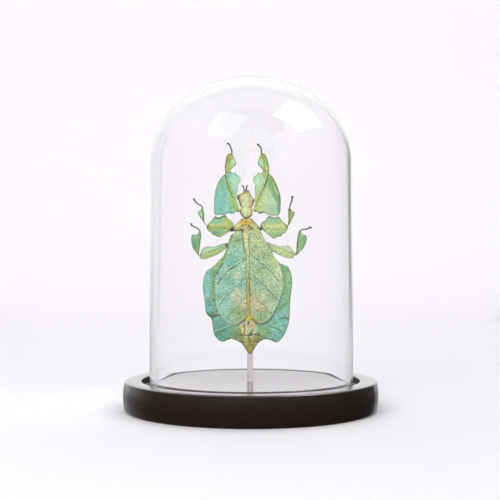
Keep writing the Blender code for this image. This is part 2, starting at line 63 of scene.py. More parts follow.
# Glass dome
DOME_FOOT_RADIUS = 59.9
DOME_SHOULDER_RADIUS = 59.4
DOME_SHOULDER_HEIGHT = 146.0
DOME_HEIGHT = 196.0
DOME_WALL = 2.4
DOME_FOOT_WALL = 1.3  # the blown wall thins towards its foot
DOME_SHIFT = 0.4
DOME_CAP_STEPS = 40
DOME_WALL_STEPS = 12
DOME_RIM_STEPS = 12
GAP = 0.35  # clearance between pieces that touch

# Clear rod
ROD_RADIUS = 1.75
ROD_SHIFT = -0.4
ROD_TOP = 90.0
ROD_EDGE = 0.25  # the polished edge of each end

# Insect
TAIL_TIP = (-0.5, 32.8)
BELLY_DEPTH = 1.7
INSECT_DEPTH = -(ROD_RADIUS + GAP + BELLY_DEPTH)
WING_HALF = 0.3
WING_LEVEL = -2.45
WING_RISE = 1.1
WING_REACH = 20.0
WING_BEND = (66.0, 74.0, 0.75)  # between these heights the wings bend back, by this depth
BELLY_CORE = 5.5  # half the width of the abdomen's plump middle
BELLY_CORE_DEPTH = 1.25
BELLY_PLATE = 7.4  # length of one plate of its underside
TAIL_PLATES = (12.6, 1.6, 6.4)  # their upper end, how softly it ends, and half their width
LEG_HALF = 0.45
SHIN_HALF = 0.35
FORE_LEVEL = -0.9  # depth of the fore legs' upper lobes
FORE_SHIN_LEVEL = -0.1
MID_LEVEL = 0.5
HIND_LEVEL = 1.7
LOBE_TEETH = (0.3, 1.5)  # height and pitch of the teeth of a leg's lobe

# Facets
TURN_STEPS = 256  # round the dome and the base
SMALL_TURN_STEPS = 96
BULB_STEPS = 28
EDGE_STEPS = 6  # round a rounded edge
NOOK_STEPS = 4  # round a smaller one
SHIN_ROWS = 84
CURVE_STEPS = 6  # straight parts between two set points of an outline
STROKE_STEPS = 3  # the same for a line of the markings
SHARP_ANGLE = 50

# Studio
VIEW_DISTANCE = 650.0
VIEW_HEIGHT = 95.1
VIEW_LENS = 79.2
VIEW_SHIFT = (-0.0014, -0.0044)
OBJECT_MIDDLE = (0.0, 0.0, 95.0)
SWEEP_FLAT = 900.0  # how far the floor runs level before it curves up
SWEEP_CURVE = 500.0
SWEEP_TOP = 1400.0
SWEEP_RINGS = 6
SWEEP_STEPS = 16
SWEEP_DROP = 0.05  # the floor lies this far under the base
# Painted shade: two dark corners painted into the pale paper, for the dim corners of the room. Given: the
# middle and the half width of each, in degrees from straight behind and clockwise from above, and how much it
# darkens the paper
PAINTED_SHADE_CORNERS = ((28.0, 6.2, 0.8), (-28.0, 6.0, 0.2))
PAPER_FIBRE = 0.97  # how bright the paper's fibre is beside the paper
CORNER_EDGE = 1.0  # half the width of a corner's soft edge, in degrees
CORNER_START = (800.0, 1200.0)  # how far out the paper begins to take them, and takes them fully
CORNER_FADE = (280.0, 500.0, 0.1)  # they fade between these heights, to this share
ROOM_FRONT = 0.1
ROOM_BACK = 1.6
ROOM_TOP = 0.75
ROOM_BELOW = 0.3
ROOM_LOW = 0.68  # how bright the room is behind the object near the floor
ROOM_HIGH = 0.86  # and further up
# Its dim sides: where each starts and where it is full, as for the corners, and its share
ROOM_SIDES = ((28.0, 38.0, 0.1), (-34.0, -44.0, 0.6))

PIGMENTS = {
    "wing green": "#82bca0",
    "wing sage": "#a4c096",
    "wing pale": "#bcd4ac",
    "wing mint": "#9ccbb2",
    "wing teal": "#7ab098",
    "wing moss": "#8ba86a",
    "tan": "#c0b97a",
    "pink tan": "#d8c09a",
    "khaki": "#a8ac68",
    "vein": "#47704e",
    "vein deep": "#284e34",
    "vein light": "#cadfb8",
    "gold": "#d3b450",
    "amber": "#b3861f",
    "yellow": "#e2c823",
    "cream": "#dfd496",
    "ivory": "#d6e0ac",
    "olive yellow": "#a69c3c",
    "olive": "#777c30",
    "olive deep": "#43481c",
    "brown": "#634118",
    "grey brown": "#5a4a42",
    "umber": "#332416",
    "rose": "#d0ad8f",
    "straw": "#e6cf80",
    "rust": "#a0642c",
    "olive green": "#5f7d22",
    "sky teal": "#86c2c0",
    "teal": "#84c1ac",
    "teal deep": "#48957a",
    "turquoise": "#72c0ac",
    "blue green": "#529f8f",
    "leaf": "#82af6b",
    "fresh leaf": "#96c48c",
    "leaf deep": "#588c52",
    "moss": "#76993f",
    "forest": "#2f5f33",
    "yellow green": "#a9be63",
    "lime": "#c2d07a",
    "mint": "#aedab6",
    "sage": "#b3c892",
}


def linear(hexadecimal):
    """An sRGB hex colour as linear red, green and blue."""
    values = [int(hexadecimal[k:k + 2], 16) / 255 for k in (1, 3, 5)]
    return [v / 12.92 if v <= 0.04045 else ((v + 0.055) / 1.055) ** 2.4 for v in values]


# ---------------------------------------------------------------- lines and patterns


def smooth(points, steps=CURVE_STEPS):
    """A smooth line through given points."""
    given = [Vector((*point, 0.0)) if len(point) == 2 else Vector(point) for point in points]
    ends = [given[0], *given, given[-1]]
    path = [given[0]]
    for before, start, end, after in zip(ends, ends[1:], ends[2:], ends[3:]):
        handles = start + (end - before) / 6, end - (after - start) / 6
        path += interpolate_bezier(start, *handles, end, steps + 1)[1:]
    return np.array(path)[:, :len(points[0])]


def reaches(path):
    """How far along a line each of its points lies."""
    return np.concatenate([[0.0], np.cumsum(np.linalg.norm(np.diff(path, axis=0), axis=1))])


def along(path, share):
    """The places at given shares of a line's length."""
    reach = reaches(path)
    return np.column_stack([np.interp(share * reach[-1], reach, axis) for axis in path.T])


def nearest(path, x, z):
    """For each place: how far it is from a line, and the share of the line it lies beside."""
    reach = reaches(path)
    gap = np.full(x.shape, np.inf)
    share = np.zeros(x.shape)
    for k, (start, end) in enumerate(zip(path, path[1:])):
        leg = end - start
        part = ((x - start[0]) * leg[0] + (z - start[1]) * leg[1]) / max(leg @ leg, TINY)
        part = np.clip(part, 0.0, 1.0)
        there = np.hypot(x - start[0] - part * leg[0], z - start[1] - part * leg[1])
        closer = there < gap
        gap = np.where(closer, there, gap)
        share = np.where(closer, (reach[k] + part * (reach[k + 1] - reach[k])) / reach[-1], share)
    return gap, share


def cloud(x, z, size, seed):
    """Smooth irregular values from about -1 to 1, with hills about size mm apart."""
    draw = np.random.default_rng(seed)
    total = np.zeros(x.shape)
    for _ in range(9):
        turn, phase = draw.uniform(0.0, 2 * math.pi, 2)
        spacing = size * draw.uniform(0.6, 1.7)
        total += np.sin(2 * math.pi * (x * math.cos(turn) + z * math.sin(turn)) / spacing + phase)
    return total / 3


def body_axis(z):
    """Where the insect's middle line runs: it leans a little to the left."""
    return -0.9 - 0.012 * z


def wing_roof(x, z):
    """The closed forewings lie over the abdomen like a low roof, and bend back to the thorax."""
    start, end, depth = WING_BEND
    root = np.clip((z - start) / (end - start), 0.0, 1.0)
    return WING_RISE * ((x - body_axis(z)) / WING_REACH) ** 2 + depth * root**2 * (3 - 2 * root)


# ---------------------------------------------------------------- making pieces


def add_to_scene(form, name, *finishes):
    """Writes a form, in metres, to a smooth-shaded object."""
    bmesh.ops.scale(form, vec=(MM, MM, MM), verts=form.verts)
    mesh = bpy.data.meshes.new(name)
    form.to_mesh(mesh)
    form.free()
    for finish in finishes:
        mesh.materials.append(finish)
    mesh.shade_smooth()
    thing = bpy.data.objects.new(name, mesh)
    bpy.context.scene.collection.objects.link(thing)
    return thing


def finish_piece(form, node, slot, *finishes):
    """Makes a form the piece that stands for its CAD node."""
    piece = add_to_scene(form, node + "_finished", *finishes)
    piece.data.set_sharp_from_angle(angle=math.radians(SHARP_ANGLE))
    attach(piece, "root")
    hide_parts(node)
    return piece


def arc(centre, radii, start, end, steps):
    """Points of an elliptic arc, from one angle to another in degrees."""
    turns = [math.radians(start + (end - start) * k / steps) for k in range(steps + 1)]
    return [(centre[0] + radii[0] * math.cos(a), centre[1] + radii[1] * math.sin(a)) for a in turns]


def turned(profile, shift=0.0, steps=TURN_STEPS):
    """Turns a profile of (radius, height) round the upright axis."""
    form = bmesh.new()
    corners = [form.verts.new((r, 0.0, z)) for r, z in profile]
    edges = [form.edges.new(pair) for pair in zip(corners, corners[1:])]
    bmesh.ops.spin(
        form, geom=corners + edges, cent=(0.0, 0.0, 0.0), axis=(0.0, 0.0, 1.0),
        angle=2 * math.pi, steps=steps, use_merge=True,
    )
    bmesh.ops.remove_doubles(form, verts=form.verts, dist=0.0001)
    form.normal_update()
    bmesh.ops.recalc_face_normals(form, faces=form.faces)
    bmesh.ops.translate(form, vec=(shift, 0.0, 0.0), verts=form.verts)
    return form


class Sheet:
    """A closed leaf-like sheet between a left and a right edge line, from root to tip.

    Its colours and its relief are laid on in strokes, and made() gives the finished form.
    level is the depth of its middle, half is half its thickness, spine is a middle line
    where the straight one would leave the outline, camber is how the sheet is bent, warp is
    how far its markings waver, and teeth are the height and the pitch of its edge's teeth.
    """

    def __init__(self, root, left, right, tip, columns, rows, seed, **shape):
        self.form = bmesh.new()
        self.layer = self.form.verts.layers.float_color.new("tint")
        ball = bmesh.ops.create_uvsphere(self.form, u_segments=columns, v_segments=rows, radius=1.0)
        self.verts = ball["verts"]
        unit = np.array([vert.co for vert in self.verts])
        ring = np.maximum(np.hypot(unit[:, 0], unit[:, 1]), TINY)
        share = np.arccos(np.clip(unit[:, 2], -1.0, 1.0)) / math.pi
        self.across = np.arcsin(np.clip(unit[:, 1] / ring, -1.0, 1.0)) * 2 / math.pi
        self.front = unit[:, 0] < 0
        self.share = share
        self.seed = seed
        sides = [along(smooth([root, *side, tip]), share) for side in (left, right)]
        middle = (sides[0] + sides[1]) / 2
        if "spine" in shape:
            middle = along(smooth([root, *shape["spine"], tip]), share)
        reach = np.where(self.across[:, None] > 0, sides[1], sides[0]) - middle
        breadth = np.linalg.norm(reach, axis=1)
        out = np.abs(self.across)
        tooth, spacing = shape.get("teeth", (0.0, 1.0))
        length = reaches(smooth([root, *left, tip]))[-1]
        turns = share * length / spacing + cloud(share * length, share, 7.0, seed) * 0.4
        saw = (turns % 1.0 - 0.5) * tooth * np.sin(math.pi * share) ** 0.5
        stretch = out * (1 + saw * out**14 / np.maximum(breadth, 1.0))
        self.x, self.z = (middle + reach * stretch[:, None]).T
        self.edge = (1 - out) * breadth
        half = shape["half"]
        self.body = half * np.sqrt(1 - (1 - np.minimum(1.0, self.edge / half)) ** 2)
        self.depth = shape["level"] + shape.get("camber", lambda x, z: 0.0 * x)(self.x, self.z)
        self.relief = np.zeros(len(self.x))
        self.tint = np.ones((len(self.x), 3))
        warp = shape.get("warp", 0.3)
        self.u = self.x + warp * cloud(self.x, self.z, 5.0, seed + 1)
        self.v = self.z + warp * cloud(self.x, self.z, 5.0, seed + 2)

    def lay(self, pigment, mask):
        """Blends a pigment in where the mask says, from 0 to 1."""
        share = np.clip(mask, 0.0, 1.0)[:, None]
        self.tint += (np.array(linear(PIGMENTS[pigment])) - self.tint) * share

    def fill(self, pigment):
        self.lay(pigment, np.ones(len(self.x)))

    def round_off(self, half):
        """Makes the sheet a plump body, half mm deep on each side of its middle."""
        section = np.sqrt(np.clip(1 - self.across**2, 0.0, 1.0))
        self.body = half * section * np.clip(np.sin(math.pi * self.share), 0.0, 1.0) ** 0.5

    def wave(self, size, height, spare=2.0):
        """Dries the sheet into waves; they fade within spare mm of its edge."""
        still = np.clip(self.edge / spare, 0.0, 1.0) if spare else 1.0
        self.depth = self.depth + height * cloud(self.x, self.z, size, self.seed + 3) * still

    def press(self, pigment, mask, strength, relief):
        """Lays a pigment on, and raises the sheet there by relief mm."""
        self.lay(pigment, mask * strength)
        self.relief += mask * relief

    def patch(self, pigment, centre, radii, strength, relief=0.0):
        """A soft-edged patch of a pigment."""
        away = ((self.u - centre[0]) / radii[0]) ** 2 + ((self.v - centre[1]) / radii[1]) ** 2
        self.press(pigment, np.exp(-(away**1.6)), strength, relief)

    def patches(self, pigment, spots, strength, relief=0.0):
        """Several round patches, each given as (across, up, radius)."""
        for x, z, radius in spots:
            self.patch(pigment, (x, z), (radius, radius), strength, relief)

    def stroke(self, pigment, points, width, strength, relief=0.0, shift=0.0):
        """A drawn line: width is its width, or its widths at both ends; shift moves it up."""
        start, end = width if isinstance(width, tuple) else (width, width)
        gap, share = nearest(smooth(points, STROKE_STEPS), self.u, self.v - shift)
        wide = start + (end - start) * share
        self.press(pigment, np.exp(-((gap / (wide * 0.57)) ** 3)), strength, relief)

    def vein(self, points, width, strength, light=0.5):
        """A dark vein with a painted highlight: a pale line along its upper edge."""
        # Painted highlight: the pale line sits on the vein's upper side
        self.stroke("vein light", points, width, light, shift=width * 0.9)
        self.stroke("vein", points, width, strength, relief=0.07)

    def band(self, pigment, points, width, strength, relief):
        """A flat-topped stripe with softer sides."""
        gap, _ = nearest(smooth(points, STROKE_STEPS), self.u, self.v)
        self.press(pigment, 1 / (1 + np.exp((gap - width / 2) / (0.12 * width))), strength, relief)

    def rim(self, pigment, width, strength, side=0):
        """Colours the edge: all of it, or only its left (-1) or its right (1)."""
        mask = np.exp(-((self.edge / width) ** 2))
        if side:
            mask = mask * (self.across * side > 0)
        self.lay(pigment, mask * strength)

    def mottle(self, pigment, size, strength, seed, floor=0.1):
        """Irregular blotches, with hills about size mm apart."""
        mask = np.clip(cloud(self.x, self.z, size, self.seed + seed) - floor, 0.0, 1.0)
        self.lay(pigment, mask * strength)

    def ribs(self, pigment, stem, length, angle, spacing, width, strength):
        """Side veins that leave a stem at an angle, on both its sides, spacing mm apart."""
        path = smooth(stem, STROKE_STEPS)
        gap, share = nearest(path, self.u, self.v)
        run = share * reaches(path)[-1] - gap / math.tan(math.radians(angle))
        drift = 0.3 * cloud(self.x, self.z, 9.0, self.seed + 5)
        off = np.abs((run / spacing + drift) % 1.0 - 0.5) * spacing
        fade = np.clip(1 - gap / length, 0.0, 1.0) ** 0.5
        self.press(pigment, np.exp(-((off / (width * 0.6)) ** 2)) * fade, strength, 0.03)

    def made(self):
        """The finished form, at its place in the dome."""
        outwards = np.where(self.front, -1.0, 1.0) * self.body
        y = self.depth + outwards - self.relief * np.where(self.front, 1.0, 0.5)
        for vert, x, deep, z, tint in zip(self.verts, self.x, y, self.z, self.tint):
            vert.co = (x + TAIL_TIP[0], deep + INSECT_DEPTH, z + TAIL_TIP[1])
            vert[self.layer] = (*tint, 1.0)
        self.form.normal_update()
        bmesh.ops.recalc_face_normals(self.form, faces=self.form.faces)
        return self.form


def strand_form():
    """An empty form for strands and bulbs, ready for their tint."""
    form = bmesh.new()
    form.verts.layers.float_color.new("tint")
    return form


def bead_string(form, points, widths, pigments, beads=0, sides=14, rings=60):
    """Adds a thin round-sided strand along a line of (across, depth, up).

    widths are at its root, middle and tip, pigments at its root and tip, and beads are the
    joints it is ringed by.
    """
    layer = form.verts.layers.float_color["tint"]
    known = set(form.faces)
    ball = bmesh.ops.create_uvsphere(form, u_segments=sides, v_segments=rings, radius=1.0)["verts"]
    path = smooth(points)
    start, end = (np.array(linear(PIGMENTS[name])) for name in pigments)
    for vert in ball:
        share = math.acos(max(-1.0, min(1.0, vert.co.z))) / math.pi
        ring = max(math.hypot(vert.co.x, vert.co.y), TINY)
        facing, across = vert.co.x / ring, vert.co.y / ring
        here, ahead, behind = along(path, np.array([share, min(1.0, share + 0.03), max(0.0, share - 0.03)]))
        heading = Vector(ahead - behind).normalized()
        side = heading.cross((0.0, 1.0, 0.0)).normalized()
        up = side.cross(heading)
        end_width = widths[0] if share < 0.5 else widths[2]
        half = (end_width + (widths[1] - end_width) * 2 * min(share, 1 - share)) / 2
        half *= min(1.0, ring * 6) ** 0.5
        if beads:
            half *= 0.78 + 0.22 * abs(math.sin(math.pi * share * beads)) ** 0.5
        place = Vector(here) + side * across * half + up * facing * half
        vert.co = (place.x + TAIL_TIP[0], place.y + INSECT_DEPTH, place.z + TAIL_TIP[1])
        vert[layer] = (*(start + (end - start) * share), 1.0)
    form.normal_update()
    bmesh.ops.recalc_face_normals(form, faces=[face for face in form.faces if face not in known])


def bulb(form, centre, radii, pigment, finish=0):
    """Adds an egg-shaped swelling, such as an eye. finish counts the piece's finishes from 0."""
    layer = form.verts.layers.float_color["tint"]
    known = set(form.faces)
    place = (centre[0] + TAIL_TIP[0], centre[1] + INSECT_DEPTH, centre[2] + TAIL_TIP[1])
    where = Matrix.Translation(place) @ Matrix.Diagonal((*radii, 1.0))
    made = bmesh.ops.create_uvsphere(
        form, u_segments=BULB_STEPS, v_segments=BULB_STEPS // 2 + 2, radius=1.0, matrix=where
    )
    for vert in made["verts"]:
        vert[layer] = opaque(PIGMENTS[pigment])
    for face in form.faces:
        if face not in known:
            face.material_index = finish


# ---------------------------------------------------------------- finishes


def add_node(owner, kind, inputs=None, **settings):
    """Adds one shader node, with its settings, and feeds its inputs with values or links."""
    node = owner.node_tree.nodes.new("ShaderNode" + kind)
    for name, value in settings.items():
        setattr(node, name, value)
    for name, value in (inputs or {}).items():
        if isinstance(value, bpy.types.NodeSocket):
            owner.node_tree.links.new(value, node.inputs[name])
        else:
            node.inputs[name].default_value = value
    return node


def new_finish(name, **values):
    """A finish whose shader starts with plain values; returns it with its shader."""
    finish = bpy.data.materials.new(name)
    finish.use_nodes = True
    shader = finish.node_tree.nodes["Principled BSDF"]
    for socket, value in values.items():
        shader.inputs[socket.replace("_", " ")].default_value = value
    return finish, shader


def join(finish, shader, **outputs):
    """Links a finish's patterns to its shader."""
    for socket, output in outputs.items():
        finish.node_tree.links.new(output, shader.inputs[socket.replace("_", " ")])
    return finish


def opaque(hexadecimal):
    """An sRGB hex colour as the linear colour of a shader's input."""
    return (*linear(hexadecimal), 1.0)


def pitch(size):
    """The scale of a pattern whose features are size mm apart."""
    return 1 / (size * MM)


def dried_chitin(name, cell, contrast, rough, relief):
    """Insect cuticle, dried flat: its colour is in the mesh as the tint attribute.

    It is built of tiny cells, each of a slightly different tone, over softer blotches, as on
    a dried leaf. The cells' rims leave the surface pitted, so that it is dull with a faint
    waxy sheen. cell is the cells' width in mm; at 0.5 mm it is drawn about twice as coarse
    as it really is, so that it still shows from a step away. contrast is how far its tones
    differ, rough its middle roughness, and relief the depth of its pits in mm.
    """
    chitin, shader = new_finish(name, IOR=1.56, Specular_IOR_Level=0.25, Coat_Weight=0.03,
                                Coat_Roughness=0.4)
    place = add_node(chitin, "TexCoord").outputs["Object"]
    tint = add_node(chitin, "VertexColor", layer_name="tint").outputs["Color"]
    cells = add_node(chitin, "TexVoronoi", {"Vector": place, "Scale": pitch(cell)})
    tones = add_node(chitin, "SeparateColor", {0: cells.outputs["Color"]}).outputs[0]
    soft = add_node(chitin, "TexNoise", {"Vector": place, "Scale": pitch(cell * 2.0), "Detail": 5.0,
                                         "Roughness": 0.78}).outputs[0]
    fine = add_node(chitin, "MapRange", {"Value": tones, "To Min": 1 - contrast * 0.9,
                                         "To Max": 1 + contrast * 0.9})
    blotch = add_node(chitin, "MapRange", {"Value": soft, "From Min": 0.34, "From Max": 0.66,
                                           "To Min": 1 - contrast * 0.7, "To Max": 1 + contrast * 0.7})
    shade = add_node(chitin, "Math", {0: fine.outputs[0], 1: blotch.outputs[0]}, operation="MULTIPLY")
    broken = add_node(chitin, "Mix", {0: 1.0, 6: tint, 7: shade.outputs[0]}, data_type="RGBA",
                      blend_type="MULTIPLY")
    matt = add_node(chitin, "MapRange", {"Value": soft, "From Min": 0.3, "From Max": 0.7,
                                         "To Min": rough - 0.08, "To Max": rough + 0.08})
    bump = add_node(chitin, "Bump", {"Height": cells.outputs["Distance"], "Distance": relief * MM,
                                     "Strength": 0.6})
    return join(chitin, shader, Base_Color=broken.outputs[2], Roughness=matt.outputs[0],
                Normal=bump.outputs[0])


def dark_eye():
    """A compound eye: dark, domed and faintly pebbled, so it keeps one soft glint."""
    eye, shader = new_finish("compound eye", IOR=1.56, Roughness=0.22, Coat_Weight=0.4)
    place = add_node(eye, "TexCoord").outputs["Object"]
    facets = add_node(eye, "TexVoronoi", {"Vector": place, "Scale": pitch(0.14)})
    colour = add_node(eye, "Mix", {0: facets.outputs["Distance"], 6: opaque("#4a4a24"),
                                   7: opaque("#22200f")}, data_type="RGBA")
    bump = add_node(eye, "Bump", {"Height": facets.outputs["Distance"], "Distance": 0.03 * MM,
                                  "Strength": 0.5})
    return join(eye, shader, Base_Color=colour.outputs[2], Normal=bump.outputs[0])


def satin_black_paint():
    """Turned wood under satin black lacquer: faint turning rings and brushed grain show
    through, and at a low angle the level top mirrors what is behind it."""
    paint, shader = new_finish("satin black lacquer on turned wood", IOR=1.5, Coat_Weight=1.0,
                               Coat_IOR=1.5, Coat_Roughness=0.09)
    place = add_node(paint, "TexCoord").outputs["Object"]
    along_grain = add_node(paint, "Mapping", {"Vector": place, "Scale": (0.08, 1.0, 1.0)})
    grain = add_node(paint, "TexNoise", {"Vector": along_grain.outputs[0], "Scale": pitch(1.4),
                                         "Detail": 4.0, "Roughness": 0.6})
    rings = add_node(paint, "TexWave", {"Vector": place, "Scale": pitch(0.9) / 6.28, "Distortion": 0.6,
                                        "Detail": 2.0}, wave_type="RINGS", rings_direction="Z")
    specks = add_node(paint, "TexNoise", {"Vector": place, "Scale": pitch(0.5), "Detail": 2.0})
    colour = add_node(paint, "Mix", {0: grain.outputs[0], 6: opaque("#17100c"),
                                     7: opaque("#2e221b")}, data_type="RGBA")
    matt = add_node(paint, "MapRange", {"Value": specks.outputs[0], "From Min": 0.3, "From Max": 0.7,
                                        "To Min": 0.26, "To Max": 0.42})
    mixed = add_node(paint, "Math", {0: grain.outputs[0], 1: rings.outputs["Fac"]}, operation="ADD")
    bump = add_node(paint, "Bump", {"Height": mixed.outputs[0], "Distance": 0.02 * MM, "Strength": 0.35})
    return join(paint, shader, Base_Color=colour.outputs[2], Roughness=matt.outputs[0],
                Normal=bump.outputs[0])


def clear_blown_glass():
    """Clear glass, blown and fire-polished: only its edges and its glints show."""
    return new_finish("clear blown glass", Base_Color=(1.0, 1.0, 1.0, 1.0), Roughness=0.0, IOR=1.52,
                      Transmission_Weight=1.0)[0]


def clear_cast_acrylic():
    """Cast acrylic, polished: it bends the light behind it into bright and dark lines."""
    return new_finish("polished cast acrylic", Base_Color=(0.66, 0.63, 0.63, 1.0), Roughness=0.02,
                      IOR=1.49, Transmission_Weight=1.0)[0]


def matt_paper():
    """Seamless photographer's paper: pale and dull, with a barely visible fibre. Two dark
    corners of the room, just outside the view on either side, are painted shade on it;
    they give the glass its edges.
    """
    paper, shader = new_finish("pale paper", Roughness=0.9, IOR=1.45)
    place = add_node(paper, "TexCoord").outputs["Object"]
    fibre = add_node(paper, "TexNoise", {"Vector": place, "Scale": pitch(6.0), "Detail": 5.0})
    pale = opaque("#f5f3f6")
    dull = (*[value * PAPER_FIBRE for value in pale[:3]], 1.0)
    tone = add_node(paper, "Mix", {0: fibre.outputs[0], 6: dull, 7: pale}, data_type="RGBA").outputs[2]
    level = add_node(paper, "VectorMath", {0: place, 1: (1.0, 1.0, 0.0)}, operation="MULTIPLY")
    reach = add_node(paper, "VectorMath", {0: level.outputs[0]}, operation="LENGTH")
    axes = add_node(paper, "SeparateXYZ", {0: place})
    turn = add_node(paper, "Math", {0: axes.outputs[0], 1: axes.outputs[1]}, operation="ARCTAN2")
    near, far = CORNER_START
    wall = add_node(paper, "MapRange", {"Value": reach.outputs["Value"], "From Min": near * MM,
                                        "From Max": far * MM})
    whole, faded, share = CORNER_FADE
    fade = add_node(paper, "MapRange", {"Value": axes.outputs[2], "From Min": whole * MM,
                                        "From Max": faded * MM, "To Min": 1.0, "To Max": share})
    low = add_node(paper, "Math", {0: wall.outputs[0], 1: fade.outputs[0]}, operation="MULTIPLY")
    # Each corner is painted shade: it darkens the paper's own colour
    for middle, half, darkening in PAINTED_SHADE_CORNERS:
        away = add_node(paper, "Math", {0: turn.outputs[0], 1: math.radians(middle)}, operation="SUBTRACT")
        off = add_node(paper, "Math", {0: away.outputs[0]}, operation="ABSOLUTE")
        within = add_node(paper, "MapRange", {
            "Value": off.outputs[0], "From Min": math.radians(half - CORNER_EDGE),
            "From Max": math.radians(half + CORNER_EDGE), "To Min": darkening, "To Max": 0.0,
        }, interpolation_type="SMOOTHSTEP")
        there = add_node(paper, "Math", {0: within.outputs[0], 1: low.outputs[0]}, operation="MULTIPLY")
        tone = add_node(paper, "Mix", {0: there.outputs[0], 6: tone, 7: (0.0, 0.0, 0.0, 1.0)},
                        data_type="RGBA").outputs[2]
    return join(paper, shader, Base_Color=tone)


# ---------------------------------------------------------------- holder


def base(paint):
    """A disc with a bulging side; a ring groove parts its flat rim from its flat plateau."""
    edge = BASE_EDGE_ROUND
    lip = GROOVE_EDGE_ROUND
    nook = GROOVE_CORNER_ROUND
    top = BASE_HEIGHT
    foot = BASE_FOOT_CHAMFER
    shoulder = BASE_RADIUS - BASE_SIDE_BULGE
    profile = [(r, top) for r in (0.0, 20.0, 40.0, 54.0)]
    profile += arc((PLATEAU_RADIUS - lip, top - lip), (lip, lip), 90, 0, EDGE_STEPS)
    profile += arc((PLATEAU_RADIUS + nook, GROOVE_FLOOR + nook), (nook, nook), 180, 270, NOOK_STEPS)
    profile += arc((RIM_INNER_RADIUS - nook, GROOVE_FLOOR + nook), (nook, nook), 270, 360, NOOK_STEPS)
    profile += arc((RIM_INNER_RADIUS + lip, top - lip), (lip, lip), 180, 90, EDGE_STEPS)
    # The outer edge ends 6 degrees early, where the bulging side takes over
    profile += arc((shoulder - edge, top - edge), (edge, edge), 90, 6, EDGE_STEPS + 1)
    for k in range(BASE_SIDE_STEPS + 1):
        share = k / BASE_SIDE_STEPS
        height = (top - edge) * (1 - share) + foot * share
        profile.append((shoulder + BASE_SIDE_BULGE * (1 - (2 * share - 1) ** 2), height))
    profile += [(shoulder - foot * 0.4, foot * 0.4), (shoulder - foot, 0.0), (0.0, 0.0)]
    finish_piece(turned(profile), "base", "black_painted_wood", paint)


def glass_dome(glass):
    """A straight wall that widens a little to its foot, under a flattened round cap."""
    wall = DOME_FOOT_WALL
    foot = GROOVE_FLOOR + GAP
    rise = DOME_HEIGHT - DOME_SHOULDER_HEIGHT
    shoulder = (0.0, DOME_SHOULDER_HEIGHT)
    outside = arc(shoulder, (DOME_SHOULDER_RADIUS, rise), 90, 0, DOME_CAP_STEPS)
    inside = arc(shoulder, (DOME_SHOULDER_RADIUS - DOME_WALL, rise - DOME_WALL), 0, 90, DOME_CAP_STEPS)
    low, high = foot + wall, DOME_SHOULDER_HEIGHT
    steps = [high + (low - high) * k / DOME_WALL_STEPS for k in range(1, DOME_WALL_STEPS)]
    swell = DOME_FOOT_RADIUS - DOME_SHOULDER_RADIUS
    wide = [(DOME_SHOULDER_RADIUS + swell * (high - z) / (high - low), z) for z in steps]
    rim = arc((DOME_FOOT_RADIUS - wall / 2, foot + wall / 2), (wall / 2, wall / 2), 0, -180, DOME_RIM_STEPS)
    outside[0] = (0.0, DOME_HEIGHT)
    inside[-1] = (0.0, DOME_HEIGHT - DOME_WALL)
    gain = (DOME_WALL - wall) / (high - low)
    narrow = [(r - wall - gain * (z - low), z) for r, z in reversed(wide)]
    form = turned(outside + wide + rim + narrow + inside, DOME_SHIFT)
    finish_piece(form, "glass_dome", "clear_glass", glass).visible_shadow = False


def support_rod(acrylic):
    """A round rod that stands on the plateau and ends behind the middle of the insect."""
    foot, top, edge = BASE_HEIGHT + GAP, ROD_TOP, ROD_EDGE
    profile = [(0.0, top), (ROD_RADIUS - edge, top)]
    profile += arc((ROD_RADIUS - edge, top - edge), (edge, edge), 90, 0, NOOK_STEPS)
    profile += arc((ROD_RADIUS - edge, foot + edge), (edge, edge), 0, -90, NOOK_STEPS)
    profile += [(0.0, foot)]
    form = turned(profile, ROD_SHIFT, SMALL_TURN_STEPS)
    finish_piece(form, "support_rod", "clear_acrylic", acrylic).visible_shadow = False


# ---------------------------------------------------------------- body


